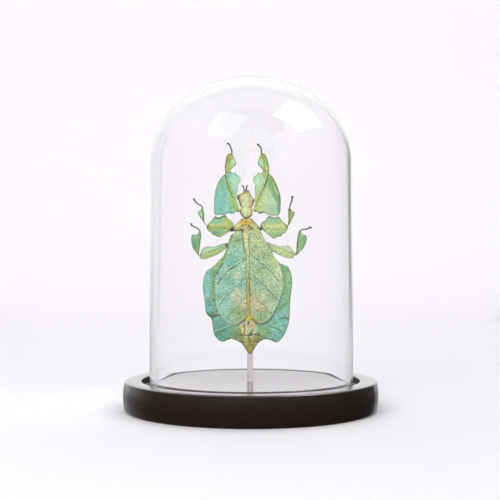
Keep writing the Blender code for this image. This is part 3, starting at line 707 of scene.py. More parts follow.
def head(chitin, eye):
    """A shield with an eye along each of its sides, and the feelers' sockets on its brow."""
    skull = Sheet(
        (-2.2, 85.7),
        [(-4.7, 85.9), (-5.6, 87.0), (-6.1, 88.2), (-6.6, 90.0), (-7.1, 91.6), (-7.4, 92.7),
         (-7.2, 93.5), (-6.2, 93.8), (-5.1, 94.3), (-4.2, 94.9), (-3.8, 96.0), (-3.1, 96.6)],
        [(0.5, 85.9), (1.5, 86.9), (2.0, 88.0), (2.4, 89.3), (2.7, 90.5), (2.6, 91.2),
         (1.9, 91.9), (1.1, 92.8), (0.4, 93.9), (0.1, 94.9), (-0.3, 95.7), (-1.2, 96.3)],
        (-2.2, 96.6), columns=84, rows=80, seed=11, level=-0.6, half=2.4, warp=0.1,
    )
    skull.round_off(2.35)
    skull.fill("tan")
    skull.patch("cream", (-4.6, 92.4), (0.9, 1.2), 0.9)
    skull.patch("cream", (0.9, 89.0), (0.7, 2.6), 0.8)
    skull.stroke("ivory", [(-2.5, 92.2), (-2.6, 89.0), (-2.6, 85.8)], (2.7, 3.0), 0.95)
    skull.stroke("wing pale", [(-3.2, 92.0), (-3.2, 89.0), (-3.0, 86.2)], 2.0, 0.6)
    skull.stroke("rose", [(0.6, 92.0), (0.9, 90.0), (0.6, 87.4)], 0.8, 0.6)
    skull.patches("rose", [(-5.4, 93.0, 0.7), (-0.6, 94.2, 0.8), (-3.6, 94.0, 0.6)], 0.6)
    skull.stroke("olive", [(-5.5, 87.8), (-4.4, 86.3), (-2.2, 85.9), (0.2, 86.3), (1.0, 87.0)], 0.5, 0.5)
    for path, widths in (
            ([(-6.9, 93.1), (-6.75, 92.0), (-6.5, 91.0), (-6.3, 90.0), (-6.0, 89.0), (-5.8, 88.0),
              (-5.5, 87.0), (-5.2, 86.2)], (1.6, 0.6)),
            ([(2.5, 91.2), (2.3, 90.0), (2.1, 89.0), (1.7, 87.8), (1.0, 86.2)], (1.1, 0.8))):
        skull.stroke("olive deep", path, widths, 0.95)
    skull.stroke("brown", [(-6.4, 93.5), (-5.4, 93.6), (-4.7, 94.2), (-4.2, 94.9)], 0.7, 0.9)
    skull.stroke("brown", [(-5.7, 92.9), (-5.6, 91.8)], 0.5, 0.7)
    skull.stroke("umber", [(0.0, 93.7), (0.7, 92.8), (1.8, 92.0)], 0.6, 0.85)
    # The brow
    skull.patch("brown", (-2.1, 95.2), (2.1, 1.0), 0.7)
    skull.stroke("umber", [(-3.6, 96.4), (-2.4, 95.9), (-1.2, 96.0), (0.0, 95.2)], 0.5, 0.8)
    skull.patches("gold", [(-2.0, 94.8, 0.5), (-0.8, 94.7, 0.45), (-3.7, 94.5, 0.5)], 0.8, relief=0.3)
    skull.patches("cream", [(-2.9, 93.5, 0.55), (-0.9, 93.4, 0.5)], 0.9, relief=0.2)
    skull.patches("brown", [(-3.9, 93.5, 0.45), (-1.9, 93.6, 0.4), (-2.9, 94.9, 0.35)], 0.8, relief=-0.1)
    skull.stroke("olive", [(-4.9, 92.6), (-3.4, 92.5), (-1.9, 92.4), (-0.4, 92.3), (0.8, 91.8)], 0.3, 0.5)
    skull.stroke("olive", [(-2.2, 92.2), (-2.3, 89.5), (-2.2, 87.0)], 0.22, 0.3, relief=-0.06)
    skull.rim("olive", 0.4, 0.7)
    form = skull.made()
    bulb(form, (-6.75, -0.9, 92.0), (0.75, 0.9, 1.4), "umber", finish=1)
    bulb(form, (2.2, -0.9, 90.2), (0.55, 0.8, 1.1), "umber", finish=1)
    finish_piece(form, "head", "shield_chitin", chitin, eye)


def pronotum(chitin):
    shield = Sheet(
        (-2.2, 86.6),
        [(-4.6, 86.3), (-5.7, 85.1), (-5.8, 83.4), (-5.3, 82.0), (-4.6, 80.8), (-3.5, 80.0)],
        [(0.3, 86.3), (1.2, 85.2), (1.5, 83.6), (1.4, 82.3), (0.8, 81.1), (-0.5, 80.0)],
        (-2.1, 79.4), columns=76, rows=64, seed=21, level=-0.6, half=2.2, warp=0.1,
    )
    shield.round_off(2.15)
    shield.fill("tan")
    shield.patch("sage", (-3.4, 83.4), (1.7, 3.2), 0.8)
    shield.stroke("ivory", [(-2.6, 86.4), (-2.6, 84.0), (-2.3, 82.2)], (2.8, 1.6), 0.9)
    shield.patch("cream", (-0.3, 83.6), (1.0, 2.0), 0.8)
    shield.stroke("olive deep", [(-5.5, 84.9), (-5.5, 83.2), (-5.0, 82.0), (-4.3, 81.0), (-3.4, 80.2),
                                 (-2.2, 79.8), (-1.0, 80.0), (0.1, 80.9), (0.9, 81.7)], 0.85, 0.95)
    shield.stroke("brown", [(0.8, 81.6), (1.3, 82.5), (1.2, 83.6), (1.2, 84.7)], 0.85, 0.9)
    shield.stroke("olive", [(-2.2, 85.6), (-2.2, 83.0), (-2.1, 80.6)], 0.25, 0.5, relief=-0.08)
    shield.patches("brown", [(-2.1, 83.4, 0.35), (-3.4, 82.2, 0.35), (-1.1, 82.2, 0.35)], 0.5, relief=-0.05)
    finish_piece(shield.made(), "pronotum", "shield_chitin", chitin)


def thorax(chitin):
    """It reaches down behind the roots of the forewings."""
    back = Sheet(
        (-1.9, 80.2),
        [(-4.7, 79.6), (-5.8, 78.4), (-7.7, 76.8), (-9.2, 75.4), (-9.9, 74.2), (-9.6, 72.6),
         (-7.8, 71.6), (-5.0, 71.2)],
        [(1.1, 79.6), (2.6, 77.9), (4.4, 76.2), (5.6, 75.0), (6.2, 73.6), (6.0, 72.4),
         (4.8, 71.5), (2.0, 71.2)],
        (-1.8, 71.05), columns=120, rows=84, seed=31, level=0.2, half=1.75, warp=0.15,
    )
    back.round_off(1.7)
    back.fill("khaki")
    back.patch("cream", (-6.8, 75.2), (1.7, 1.9), 0.85)
    back.patch("sage", (3.3, 75.0), (1.8, 1.5), 0.85)
    back.patch("olive yellow", (2.7, 76.4), (0.9, 0.8), 0.7)
    back.patch("gold", (-2.3, 77.4), (3.5, 2.2), 1.0)
    back.stroke("amber", [(-2.4, 78.6), (-2.4, 75.5)], 0.8, 0.75, relief=-0.1)
    back.patch("amber", (-1.8, 75.9), (2.8, 0.5), 0.5)
    back.patch("pink tan", (0.9, 76.0), (0.9, 0.8), 0.7)
    back.patches("yellow", [(-4.0, 77.0, 0.7), (-1.2, 77.1, 0.6)], 0.35, relief=0.12)
    back.patches("cream", [(-3.4, 79.3, 0.6), (-1.0, 79.4, 0.6), (-2.6, 72.2, 0.7)], 0.9)
    back.patch("rose", (-2.7, 73.5), (1.5, 1.3), 0.9, relief=0.1)
    back.stroke("brown", [(-5.3, 79.0), (-6.9, 77.6), (-8.4, 76.3), (-9.6, 74.9), (-9.8, 73.4)], 0.8, 0.9)
    back.stroke("brown", [(1.4, 78.9), (2.9, 77.4), (4.2, 76.2), (5.4, 75.0), (6.1, 73.6)], 0.8, 0.9)
    back.stroke("umber", [(-9.6, 73.1), (-8.6, 72.3), (-7.0, 72.8), (-5.2, 73.2)], 0.7, 0.85, relief=-0.12)
    back.patches("brown", [(-4.9, 79.2, 0.6), (0.8, 79.0, 0.6)], 0.85)
    back.patches("umber", [(-4.6, 75.1, 0.5), (-0.2, 75.0, 0.5), (1.0, 74.0, 0.75), (-4.4, 72.9, 0.65),
                           (-4.3, 72.2, 0.6), (-2.4, 71.2, 0.6), (-6.2, 74.2, 0.35), (4.4, 74.1, 0.45)],
                 0.9, relief=-0.12)
    back.patches("forest", [(-0.4, 73.0, 0.55), (6.2, 72.8, 0.8)], 0.85, relief=-0.1)
    back.mottle("brown", 1.1, 0.3, 9)
    finish_piece(back.made(), "thorax", "thorax_chitin", chitin)


def antennae(chitin):
    """Short and beaded; the two stand apart like a fork."""
    routes = {
        "left": [(-3.0, -0.8, 96.0), (-3.5, -0.9, 97.6), (-4.1, -0.9, 98.6), (-4.6, -0.8, 99.3)],
        "right": [(-2.2, -0.8, 96.0), (-1.9, -0.9, 97.8), (-1.7, -0.9, 98.6), (-1.4, -0.8, 99.4)],
    }
    for side, route in routes.items():
        form = strand_form()
        bead_string(form, route, (1.0, 0.9, 0.8), ("brown", "umber"), beads=7)
        finish_piece(form, f"antenna_{side}", "foot_chitin", chitin)


def belly_swell(x, z):
    """Extra depth of the abdomen's middle, which holds the body between the leafy margins."""
    taper = np.clip((z + 2.0) / 16.0, 0.0, 1.0) * np.clip((72.0 - z) / 6.0, 0.0, 1.0)
    return np.exp(-((x - body_axis(z)) / BELLY_CORE) ** 2) * taper


def abdomen(chitin):
    """A broad, leaf-like sheet with a plump middle; the tail stands out between its last lobes."""
    belly = Sheet(
        (-2.0, 70.6),
        [(-7.0, 70.7), (-10.7, 70.3), (-11.8, 68.2), (-12.6, 65.5), (-13.5, 62.5), (-14.5, 60.0),
         (-15.9, 57.3), (-18.2, 55.1), (-20.3, 52.8), (-22.7, 50.8), (-24.8, 49.6), (-26.3, 47.2),
         (-27.2, 44.6), (-27.7, 41.0), (-27.6, 38.0), (-27.1, 35.0), (-26.6, 31.5), (-26.3, 28.0),
         (-25.9, 25.0), (-25.0, 23.2), (-23.6, 21.9), (-22.5, 20.8), (-22.1, 19.0), (-21.9, 17.0),
         (-21.6, 14.5), (-21.2, 12.2), (-20.3, 10.5), (-18.8, 8.9), (-17.2, 7.7), (-15.6, 7.4),
         (-14.2, 8.2), (-12.8, 8.9), (-10.8, 9.0), (-8.8, 8.5), (-6.7, 7.5), (-4.9, 6.4),
         (-3.6, 4.7), (-2.2, 2.6), (-1.0, 0.8)],
        [(2.0, 70.6), (5.0, 69.6), (7.5, 66.5), (10.5, 62.0), (13.5, 57.6), (15.9, 55.0),
         (17.6, 53.6), (20.0, 52.5), (22.2, 51.6), (23.3, 49.7), (24.3, 47.3), (24.8, 44.0),
         (24.8, 41.0), (24.5, 37.5), (24.0, 34.0), (23.7, 30.5), (23.6, 26.5), (23.4, 22.5),
         (23.0, 19.5), (22.2, 16.3), (21.0, 13.0), (19.6, 10.4), (17.9, 8.3), (16.4, 7.3),
         (15.0, 7.1), (13.4, 8.0), (11.8, 8.7), (10.0, 8.9), (8.2, 8.7), (6.5, 7.8),
         (4.8, 6.4), (3.4, 4.4), (2.1, 2.2), (1.0, 0.6)],
        (0.0, 0.0), columns=220, rows=260, seed=41, level=0.0, half=0.4,
        spine=[(-1.6, 60.0), (-1.3, 50.0), (-1.0, 38.0), (-0.8, 27.0), (-0.5, 19.0), (-0.3, 13.0),
               (-0.1, 6.0)],
        teeth=(0.25, 1.7),
    )
    plump = belly_swell(belly.x, belly.z) * np.minimum(1.0, belly.edge / 2.0)
    belly.body = belly.body + BELLY_CORE_DEPTH * plump
    belly.wave(11.0, 0.22, spare=0.0)
    belly.fill("teal")
    # Leafy margins: green beside the wings, teal and blue towards the outside
    belly.stroke("moss", [(-10.9, 70.0), (-12.4, 64.5), (-14.0, 60.0), (-17.0, 55.6), (-20.4, 51.5),
                          (-21.6, 46.0), (-21.6, 38.0), (-21.2, 30.0), (-20.5, 24.0)], (4.4, 3.4), 0.8)
    belly.stroke("yellow green", [(-11.2, 69.6), (-12.7, 64.5), (-14.2, 60.0), (-17.2, 56.0),
                                  (-20.8, 51.9)], (2.6, 3.0), 0.8)
    belly.stroke("olive yellow", [(-10.6, 70.4), (-11.7, 67.3), (-13.4, 62.5)], (1.6, 0.8), 0.85)
    belly.stroke("leaf", [(20.6, 50.0), (21.4, 44.0), (21.0, 37.0), (19.6, 30.0), (17.4, 25.0)],
                 3.0, 0.8)
    belly.stroke("leaf", [(24.0, 40.0), (23.0, 33.0), (22.4, 28.0), (22.2, 23.4)], 2.8, 0.4)
    belly.patch("blue green", (-24.0, 27.5), (3.0, 5.0), 0.95)
    belly.patch("turquoise", (-25.2, 42.0), (2.6, 7.0), 0.6)
    belly.patch("blue green", (-17.8, 17.4), (4.8, 4.6), 0.95)
    belly.patch("teal deep", (-16.0, 12.4), (6.4, 5.0), 0.95)
    belly.patch("leaf", (-8.8, 13.4), (4.4, 4.6), 0.9)
    belly.patch("moss", (-7.4, 12.6), (3.4, 3.6), 0.9)
    belly.patches("olive green", [(-8.6, 10.4, 3.0), (7.6, 10.4, 2.8)], 0.8)
    belly.patch("leaf", (8.0, 13.5), (4.4, 4.4), 0.9)
    belly.patch("yellow green", (7.4, 12.8), (1.2, 1.0), 0.6)
    belly.patch("leaf deep", (7.6, 10.0), (2.4, 1.2), 0.7)
    belly.patch("turquoise", (19.6, 15.5), (3.6, 5.2), 0.55)
    belly.patch("teal deep", (15.5, 11.0), (3.8, 2.6), 0.4)
    belly.patch("sage", (23.4, 46.0), (1.6, 4.4), 0.6)
    belly.patches("sky teal", [(-25.4, 45.0, 2.6), (-25.0, 36.0, 2.0), (-23.6, 26.0, 2.0),
                               (15.8, 13.4, 2.6), (21.0, 18.0, 2.2), (19.0, 24.5, 2.4)], 0.65)
    belly.mottle("leaf deep", 4.4, 0.45, 6, floor=0.25)
    belly.mottle("wing mint", 2.8, 0.4, 7, floor=0.2)
    belly.patch("teal deep", (-15.6, 12.8), (5.6, 4.6), 0.65)
    # Segment lines of the lobes
    belly.stroke("forest", [(-25.2, 23.7), (-23.6, 22.6), (-21.0, 22.6), (-18.6, 23.0), (-16.6, 22.6)],
                 (2.6, 1.2), 0.9, relief=-0.2)
    belly.stroke("forest", [(-24.6, 22.8), (-22.2, 20.4)], 1.4, 0.9)
    belly.stroke("wing mint", [(-22.0, 13.2), (-18.5, 14.2), (-15.0, 15.7), (-12.0, 17.2)], 0.6, 0.85,
                 relief=0.16)
    belly.stroke("forest", [(-18.7, 12.9), (-15.0, 14.6), (-12.0, 16.0)], 0.7, 0.5)
    belly.stroke("forest", [(23.3, 21.6), (20.0, 21.4), (17.3, 20.5)], (1.0, 0.7), 0.85, relief=-0.12)
    belly.stroke("leaf deep", [(22.4, 30.2), (19.6, 28.2), (17.1, 26.6)], 0.8, 0.75, relief=-0.1)
    belly.stroke("leaf deep", [(11.0, 17.4), (13.2, 16.0), (15.6, 15.0), (18.6, 13.8)], 0.8, 0.8,
                 relief=-0.1)
    belly.stroke("wing mint", [(11.2, 18.4), (13.6, 17.0), (16.0, 16.0), (19.0, 14.8)], 0.6, 0.6,
                 relief=0.12)
    belly.patches("forest", [(-20.5, 46.0, 0.65), (-20.9, 43.0, 0.65), (-21.0, 31.5, 0.65),
                             (-19.5, 25.7, 0.65)], 0.8)
    # Tail: cream and brown strips, then olive plates to the tip
    upper_end, soft, half = TAIL_PLATES
    tail = np.clip((upper_end - belly.v) / soft, 0.0, 1.0) * np.exp(-((belly.u / half) ** 6))
    belly.lay("olive yellow", tail * 0.97)
    belly.patch("sage", (-0.4, 14.6), (2.4, 4.0), 0.85)
    belly.stroke("moss", [(-5.9, 16.4), (-5.8, 13.4), (-5.6, 11.6)], 0.9, 0.7)
    belly.patch("yellow", (-0.5, 21.2), (2.3, 2.6), 1.0, relief=0.12)
    belly.patch("amber", (-0.6, 20.5), (0.6, 0.9), 0.6)
    belly.patches("cream", [(0.4, 20.8, 0.45), (0.5, 19.8, 0.5)], 0.45)
    belly.stroke("straw", [(-5.0, 18.1), (-4.5, 16.6), (-4.1, 14.4), (-4.2, 12.4)], 1.7, 0.95, relief=0.12)
    belly.stroke("straw", [(-2.1, 17.8), (-2.0, 15.0), (-2.2, 13.0), (-2.0, 11.9)], 1.1, 0.95, relief=0.12)
    belly.stroke("rust", [(-2.6, 17.3), (-3.1, 16.2), (-3.1, 14.8), (-3.4, 12.6)], 0.9, 0.95, relief=-0.08)
    belly.patch("brown", (-2.9, 16.6), (0.45, 0.8), 0.8)
    belly.stroke("brown", [(-5.3, 12.6), (-5.0, 11.7)], 0.6, 0.7)
    belly.stroke("straw", [(2.0, 18.6), (3.0, 17.0), (3.1, 14.8), (2.6, 13.2)], (2.0, 1.4), 0.9,
                 relief=0.1)
    belly.patch("rose", (0.6, 16.9), (1.2, 1.6), 0.9)
    belly.patches("cream", [(0.8, 17.9, 0.6), (0.9, 15.9, 0.55), (2.0, 12.8, 0.6)], 0.9)
    belly.patches("brown", [(1.2, 17.0, 0.45), (-0.7, 16.2, 0.4)], 0.5)
    belly.stroke("umber", [(1.6, 14.5), (0.9, 13.6), (0.6, 12.1)], (0.7, 1.1), 0.95)
    belly.patch("umber", (-0.65, 18.1), (0.55, 1.2), 0.97)
    belly.stroke("olive deep", [(-5.4, 11.4), (-3.8, 11.2), (-1.0, 11.5), (1.2, 12.0), (3.0, 11.6),
                                (5.4, 11.8)], 0.75, 0.85, relief=-0.12)
    belly.patches("forest", [(-6.0, 10.9, 0.65), (5.6, 11.0, 0.6)], 0.95)
    belly.patch("teal", (-2.2, 10.1), (1.0, 0.9), 0.85)
    belly.patch("ivory", (1.0, 10.9), (0.9, 0.5), 0.85)
    belly.patches("leaf", [(2.0, 9.7, 1.0), (-2.6, 8.7, 0.9)], 0.75)
    belly.stroke("brown", [(-0.5, 11.2), (-0.4, 9.6), (-0.3, 7.6), (-0.1, 6.2)], 0.75, 0.8)
    belly.patch("umber", (-0.3, 7.9), (0.5, 0.5), 0.8)
    belly.patches("olive", [(-4.8, 8.9, 1.4), (4.5, 8.7, 1.5)], 0.9)
    belly.stroke("olive deep", [(1.6, 7.5), (3.0, 7.3), (5.0, 7.4)], 0.8, 0.9, relief=-0.1)
    belly.stroke("olive deep", [(-5.4, 7.4), (-3.9, 6.8)], 1.0, 0.9, relief=-0.1)
    belly.patches("olive deep", [(-1.9, 4.9, 0.5), (0.0, 4.9, 0.4), (1.8, 5.3, 0.6)], 0.75)
    belly.stroke("tan", [(0.9, 5.1), (0.3, 3.6), (0.2, 1.6)], 0.7, 0.4, relief=0.1)
    # Its edge
    belly.rim("forest", 0.4, 0.7)
    belly.rim("olive", 0.6, 0.75, side=1)
    belly.lay("olive deep", tail * np.exp(-((belly.edge / 0.7) ** 2)) * 0.95)
    belly.stroke("forest", [(-22.4, 20.8), (-21.9, 17.6), (-21.3, 13.2), (-19.6, 10.0), (-17.0, 8.0)],
                 0.8, 0.75)
    belly.stroke("olive deep", [(-15.4, 7.7), (-12.8, 9.1), (-10.8, 9.2), (-8.6, 8.7), (-6.4, 7.6)], 0.9,
                 0.85)
    belly.stroke("forest", [(15.2, 7.5), (11.8, 8.9), (10.0, 9.1), (8.0, 8.9), (6.2, 7.8)], 0.9, 0.85)
    # Behind: the underside's plates, side by side down the body
    behind = np.where(belly.front, 0.0, 1.0)
    plates = np.abs(((belly.z - 8.0) / BELLY_PLATE) % 1.0 - 0.5) * BELLY_PLATE
    middle = np.exp(-((belly.x - body_axis(belly.z)) / 6.5) ** 4)
    belly.lay("yellow green", behind * middle * 0.7)
    belly.lay("brown", behind * middle * np.exp(-((plates / 0.3) ** 2)) * 0.7)
    belly.relief += behind * middle * np.exp(-((plates / 0.4) ** 2)) * 0.25
    finish_piece(belly.made(), "abdomen", "abdomen_chitin", chitin)


def forewing(root, left, right, tip, seed, ground):
    """A closed forewing in its ground colour, with its broad mottling."""
    wing = Sheet(root, left, right, tip, columns=170, rows=230, seed=seed, level=WING_LEVEL,
                 half=WING_HALF, camber=wing_roof, warp=0.12)
    wing.wave(9.0, 0.05, spare=3.0)
    wing.fill(ground)
    wing.mottle("wing mint", 6.0, 0.4, 6)
    wing.mottle("wing moss", 6.0, 0.25, 7, floor=0.3)
    return wing


def forewing_left(chitin):
    wing = forewing(
        (-7.0, 72.5),
        [(-8.4, 72.2), (-9.5, 71.0), (-10.1, 69.5), (-10.9, 67.0), (-11.8, 64.0), (-12.9, 61.0),
         (-13.9, 58.3), (-14.9, 56.0), (-16.4, 53.4), (-18.0, 50.7), (-19.3, 48.2), (-20.3, 45.5),
         (-20.8, 42.5), (-20.7, 39.0), (-20.4, 35.0), (-20.2, 31.0), (-19.7, 28.0), (-18.7, 25.5),
         (-17.3, 23.1), (-15.9, 20.9), (-14.0, 19.1), (-11.8, 18.0)],
        [(-5.6, 72.3), (-4.4, 71.4), (-3.7, 69.5), (-3.0, 65.5), (-2.1, 61.0), (-1.8, 55.0),
         (-1.8, 45.0), (-1.8, 35.0), (-1.7, 29.0), (-1.5, 25.5), (-1.5, 22.8), (-2.3, 21.0),
         (-3.8, 19.7), (-5.4, 18.5), (-7.2, 17.5)],
        (-8.9, 17.1), seed=51, ground="wing green",
    )
    wing.patches("wing mint", [(-8.0, 60.0, 4.0), (-16.5, 40.0, 3.6), (-12.0, 28.0, 4.6)], 0.6)
    wing.patches("wing moss", [(-7.0, 24.4, 4.6), (-7.0, 66.5, 3.0), (-9.0, 69.5, 1.6)], 0.85)
    wing.patch("sage", (-6.6, 70.6), (2.2, 1.8), 0.8)
    wing.patches("wing teal", [(-13.0, 43.5, 3.2), (-17.5, 34.0, 3.0), (-11.0, 55.0, 3.0)], 0.75)
    wing.patches("sky teal", [(-12.6, 52.4, 2.6), (-16.4, 46.6, 2.2), (-17.8, 38.6, 2.2)], 0.45)
    wing.patches("wing pale", [(-4.6, 52.0, 2.8), (-7.0, 47.0, 3.0), (-14.0, 49.5, 2.2), (-8.0, 37.0, 2.4),
                               (-9.4, 22.4, 1.8)], 0.7)
    wing.patches("tan", [(-6.2, 32.8, 4.6), (-3.8, 29.0, 3.0), (-4.0, 22.4, 1.4)], 0.5)
    wing.patches("pink tan", [(-6.0, 34.4, 4.4), (-3.6, 31.0, 2.6), (-8.0, 46.4, 2.2)], 0.35)
    wing.ribs("vein", [(-3.4, 62.0), (-2.8, 56.0), (-2.6, 44.0), (-2.4, 26.0)], length=19.0, angle=52.0,
              spacing=1.9, width=0.4, strength=0.42)
    wing.vein([(-4.1, 64.0), (-8.2, 61.0), (-12.4, 58.0)], 0.45, 0.6)
    wing.vein([(-3.0, 57.0), (-4.2, 55.3), (-6.8, 53.0), (-9.5, 51.3), (-11.3, 50.2), (-13.0, 48.9),
               (-15.5, 46.3), (-17.0, 44.3), (-18.8, 41.5)], 0.6, 0.95, 0.75)
    wing.vein([(-3.5, 44.5), (-5.0, 43.0), (-6.0, 41.8), (-8.0, 40.2), (-9.8, 38.5), (-11.8, 36.5),
               (-13.2, 35.0), (-15.6, 32.2), (-17.6, 29.5)], 0.55, 0.9, 0.8)
    wing.vein([(-2.8, 33.5), (-4.5, 31.8), (-5.7, 30.0), (-8.5, 27.5), (-11.5, 24.5), (-13.9, 21.3)],
              0.5, 0.8)
    wing.vein([(-4.9, 22.6), (-6.0, 21.4), (-7.2, 20.4)], 0.5, 0.7)
    wing.stroke("vein deep", [(-9.9, 51.0), (-11.3, 50.2)], 0.9, 0.9, relief=0.05)
    wing.patches("vein deep", [(-12.2, 52.0, 0.5), (-18.5, 47.5, 0.5), (-6.5, 67.3, 0.65),
                               (-4.5, 36.3, 0.45), (-17.0, 44.5, 0.6), (-18.5, 42.0, 0.55)], 0.85)
    wing.patch("cream", (-9.3, 71.0), (0.9, 0.7), 0.8)
    wing.patch("ivory", (-6.6, 63.0), (2.6, 4.4), 0.15)
    wing.patch("moss", (-8.4, 23.6), (5.0, 4.0), 0.35)
    wing.stroke("brown", [(-7.4, 66.8), (-8.1, 66.0)], 0.6, 0.7)
    wing.rim("vein light", 1.0, 0.45, side=-1)
    wing.rim("vein", 0.4, 0.75, side=-1)
    wing.stroke("forest", [(-15.9, 53.6), (-17.8, 50.5), (-19.4, 47.2)], 0.8, 0.85)
    wing.stroke("olive yellow", [(-8.6, 18.4), (-5.4, 19.8), (-2.6, 22.4), (-1.9, 25.0)], (1.6, 2.6), 0.6)
    wing.stroke("olive", [(-13.6, 18.8), (-11.2, 17.9), (-9.4, 17.4)], 0.5, 0.6)
    wing.stroke("olive deep", [(-10.0, 17.5), (-8.7, 17.3), (-6.6, 17.9), (-5.0, 19.0), (-3.9, 19.9),
                               (-2.5, 21.0)], 0.55, 0.8)
    wing.stroke("brown", [(-5.2, 18.9), (-3.9, 19.8), (-2.6, 20.9)], 0.6, 0.7)
    wing.stroke("brown", [(-4.8, 71.6), (-4.6, 69.5), (-4.1, 67.0), (-3.7, 64.5), (-3.0, 60.0)], 0.45, 0.7)
    finish_piece(wing.made(), "forewing_left", "forewing_chitin", chitin)


def forewing_right(chitin):
    """The closed wings' golden midrib strip belongs to it."""
    wing = forewing(
        (4.4, 73.4),
        [(2.6, 73.0), (0.4, 72.6), (-1.4, 72.3), (-3.1, 71.8), (-4.2, 70.6), (-4.2, 68.6), (-3.5, 65.5),
         (-2.8, 61.0), (-2.6, 55.0), (-2.5, 45.0), (-2.4, 35.0), (-2.2, 29.0), (-1.8, 25.5),
         (-1.1, 23.3), (0.1, 22.0), (1.2, 20.8), (2.5, 19.5), (3.9, 18.5), (5.8, 18.1)],
        [(5.6, 73.2), (6.6, 72.0), (7.6, 70.0), (8.5, 68.0), (9.7, 65.7), (11.2, 63.0),
         (12.8, 60.2), (14.2, 57.7), (15.6, 55.4), (17.0, 53.6), (18.0, 51.5), (18.8, 49.0),
         (19.5, 46.3), (20.0, 43.0), (19.9, 40.0), (19.4, 37.0), (18.5, 34.5), (17.4, 32.0),
         (16.7, 29.2), (15.3, 26.7), (13.8, 23.9), (12.0, 21.6), (10.0, 19.5)],
        (7.8, 18.3), seed=61, ground="wing sage",
    )
    wing.patches("sage", [(5.0, 65.0, 4.6), (3.4, 58.0, 3.4), (10.0, 48.0, 3.0)], 0.75)
    wing.patches("lime", [(15.6, 52.0, 2.4), (13.6, 55.6, 2.0), (4.8, 66.6, 2.6)], 0.7)
    wing.patches("ivory", [(4.6, 63.0, 4.6), (11.0, 55.0, 3.0), (16.6, 44.0, 2.6), (8.6, 34.6, 2.6)], 0.35)
    wing.patches("wing moss", [(7.6, 24.6, 4.0), (6.0, 49.0, 3.0), (9.0, 58.0, 3.0), (3.0, 62.0, 2.4),
                               (6.6, 22.6, 1.8)], 0.55)
    wing.patches("wing pale", [(13.0, 43.5, 3.4), (16.0, 48.0, 2.6), (12.4, 28.6, 3.2), (9.5, 40.0, 2.4)],
                 0.8)
    wing.patches("wing teal", [(6.0, 41.0, 2.6), (14.0, 33.0, 2.6), (9.0, 52.0, 2.2)], 0.4)
    wing.patches("tan", [(3.2, 30.5, 4.0), (6.4, 27.6, 3.2), (1.0, 35.0, 2.6), (2.2, 22.6, 1.8)], 0.65)
    wing.patches("pink tan", [(3.0, 31.4, 3.4), (6.2, 28.0, 2.8)], 0.4)
    wing.ribs("vein", [(1.6, 60.0), (0.2, 56.0), (0.0, 44.0), (0.0, 25.0)], length=19.0, angle=48.0,
              spacing=1.9, width=0.4, strength=0.42)
    wing.vein([(1.5, 65.1), (4.8, 63.4), (7.2, 62.5)], 0.45, 0.6)
    wing.vein([(0.3, 59.5), (1.0, 58.5), (2.3, 57.2), (4.3, 55.7), (5.5, 54.6), (8.8, 51.9),
               (10.0, 50.8), (12.0, 49.0), (14.2, 46.5), (16.0, 44.0), (17.6, 42.4)], 0.55, 0.9)
    wing.vein([(2.3, 46.3), (4.4, 44.3), (7.0, 42.3), (9.0, 40.3), (11.0, 37.7), (13.0, 35.7),
               (15.0, 33.6), (16.8, 31.2), (17.1, 30.3)], 0.6, 0.95, 0.6)
    wing.vein([(0.3, 36.4), (2.2, 34.7), (4.4, 32.8), (7.0, 30.2), (10.3, 27.0), (12.9, 23.6)], 0.5, 0.8)
    wing.patches("sage", [(3.6, 71.0, 3.4), (6.4, 70.4, 2.4)], 0.75)
    wing.stroke("khaki", [(1.0, 71.8), (3.4, 72.4), (5.6, 71.8)], 1.8, 0.7)
    wing.stroke("olive", [(2.5, 71.0), (3.4, 69.4), (4.2, 68.0)], 0.6, 0.8)
    wing.stroke("olive", [(4.6, 71.0), (5.8, 69.0), (6.8, 67.0)], 0.4, 0.6)
    wing.stroke("cream", [(1.3, 69.2), (1.2, 67.4)], 0.6, 0.8)
    wing.patches("vein deep", [(-0.4, 45.1, 0.5), (0.5, 44.5, 0.5), (2.4, 43.4, 0.5), (4.4, 41.9, 0.5),
                               (4.3, 55.7, 0.6), (5.0, 67.6, 0.55)], 0.85)
    wing.stroke("cream", [(15.9, 54.6), (17.2, 50.5), (18.3, 46.0)], 1.1, 0.75)
    wing.rim("vein light", 0.9, 0.5, side=1)
    wing.rim("olive", 0.35, 0.8, side=1)
    wing.stroke("olive yellow", [(0.0, 25.0), (1.4, 22.4), (3.4, 20.4), (6.4, 19.6)], (2.4, 1.6), 0.6)
    wing.stroke("olive", [(5.0, 18.5), (7.8, 18.7), (10.0, 19.6)], 0.5, 0.6)
    wing.stroke("olive deep", [(0.9, 21.4), (2.2, 19.9), (3.8, 18.9), (5.4, 18.5)], 0.55, 0.8)
    wing.stroke("brown", [(1.6, 20.6), (2.6, 19.6), (3.6, 19.0)], 0.6, 0.7)
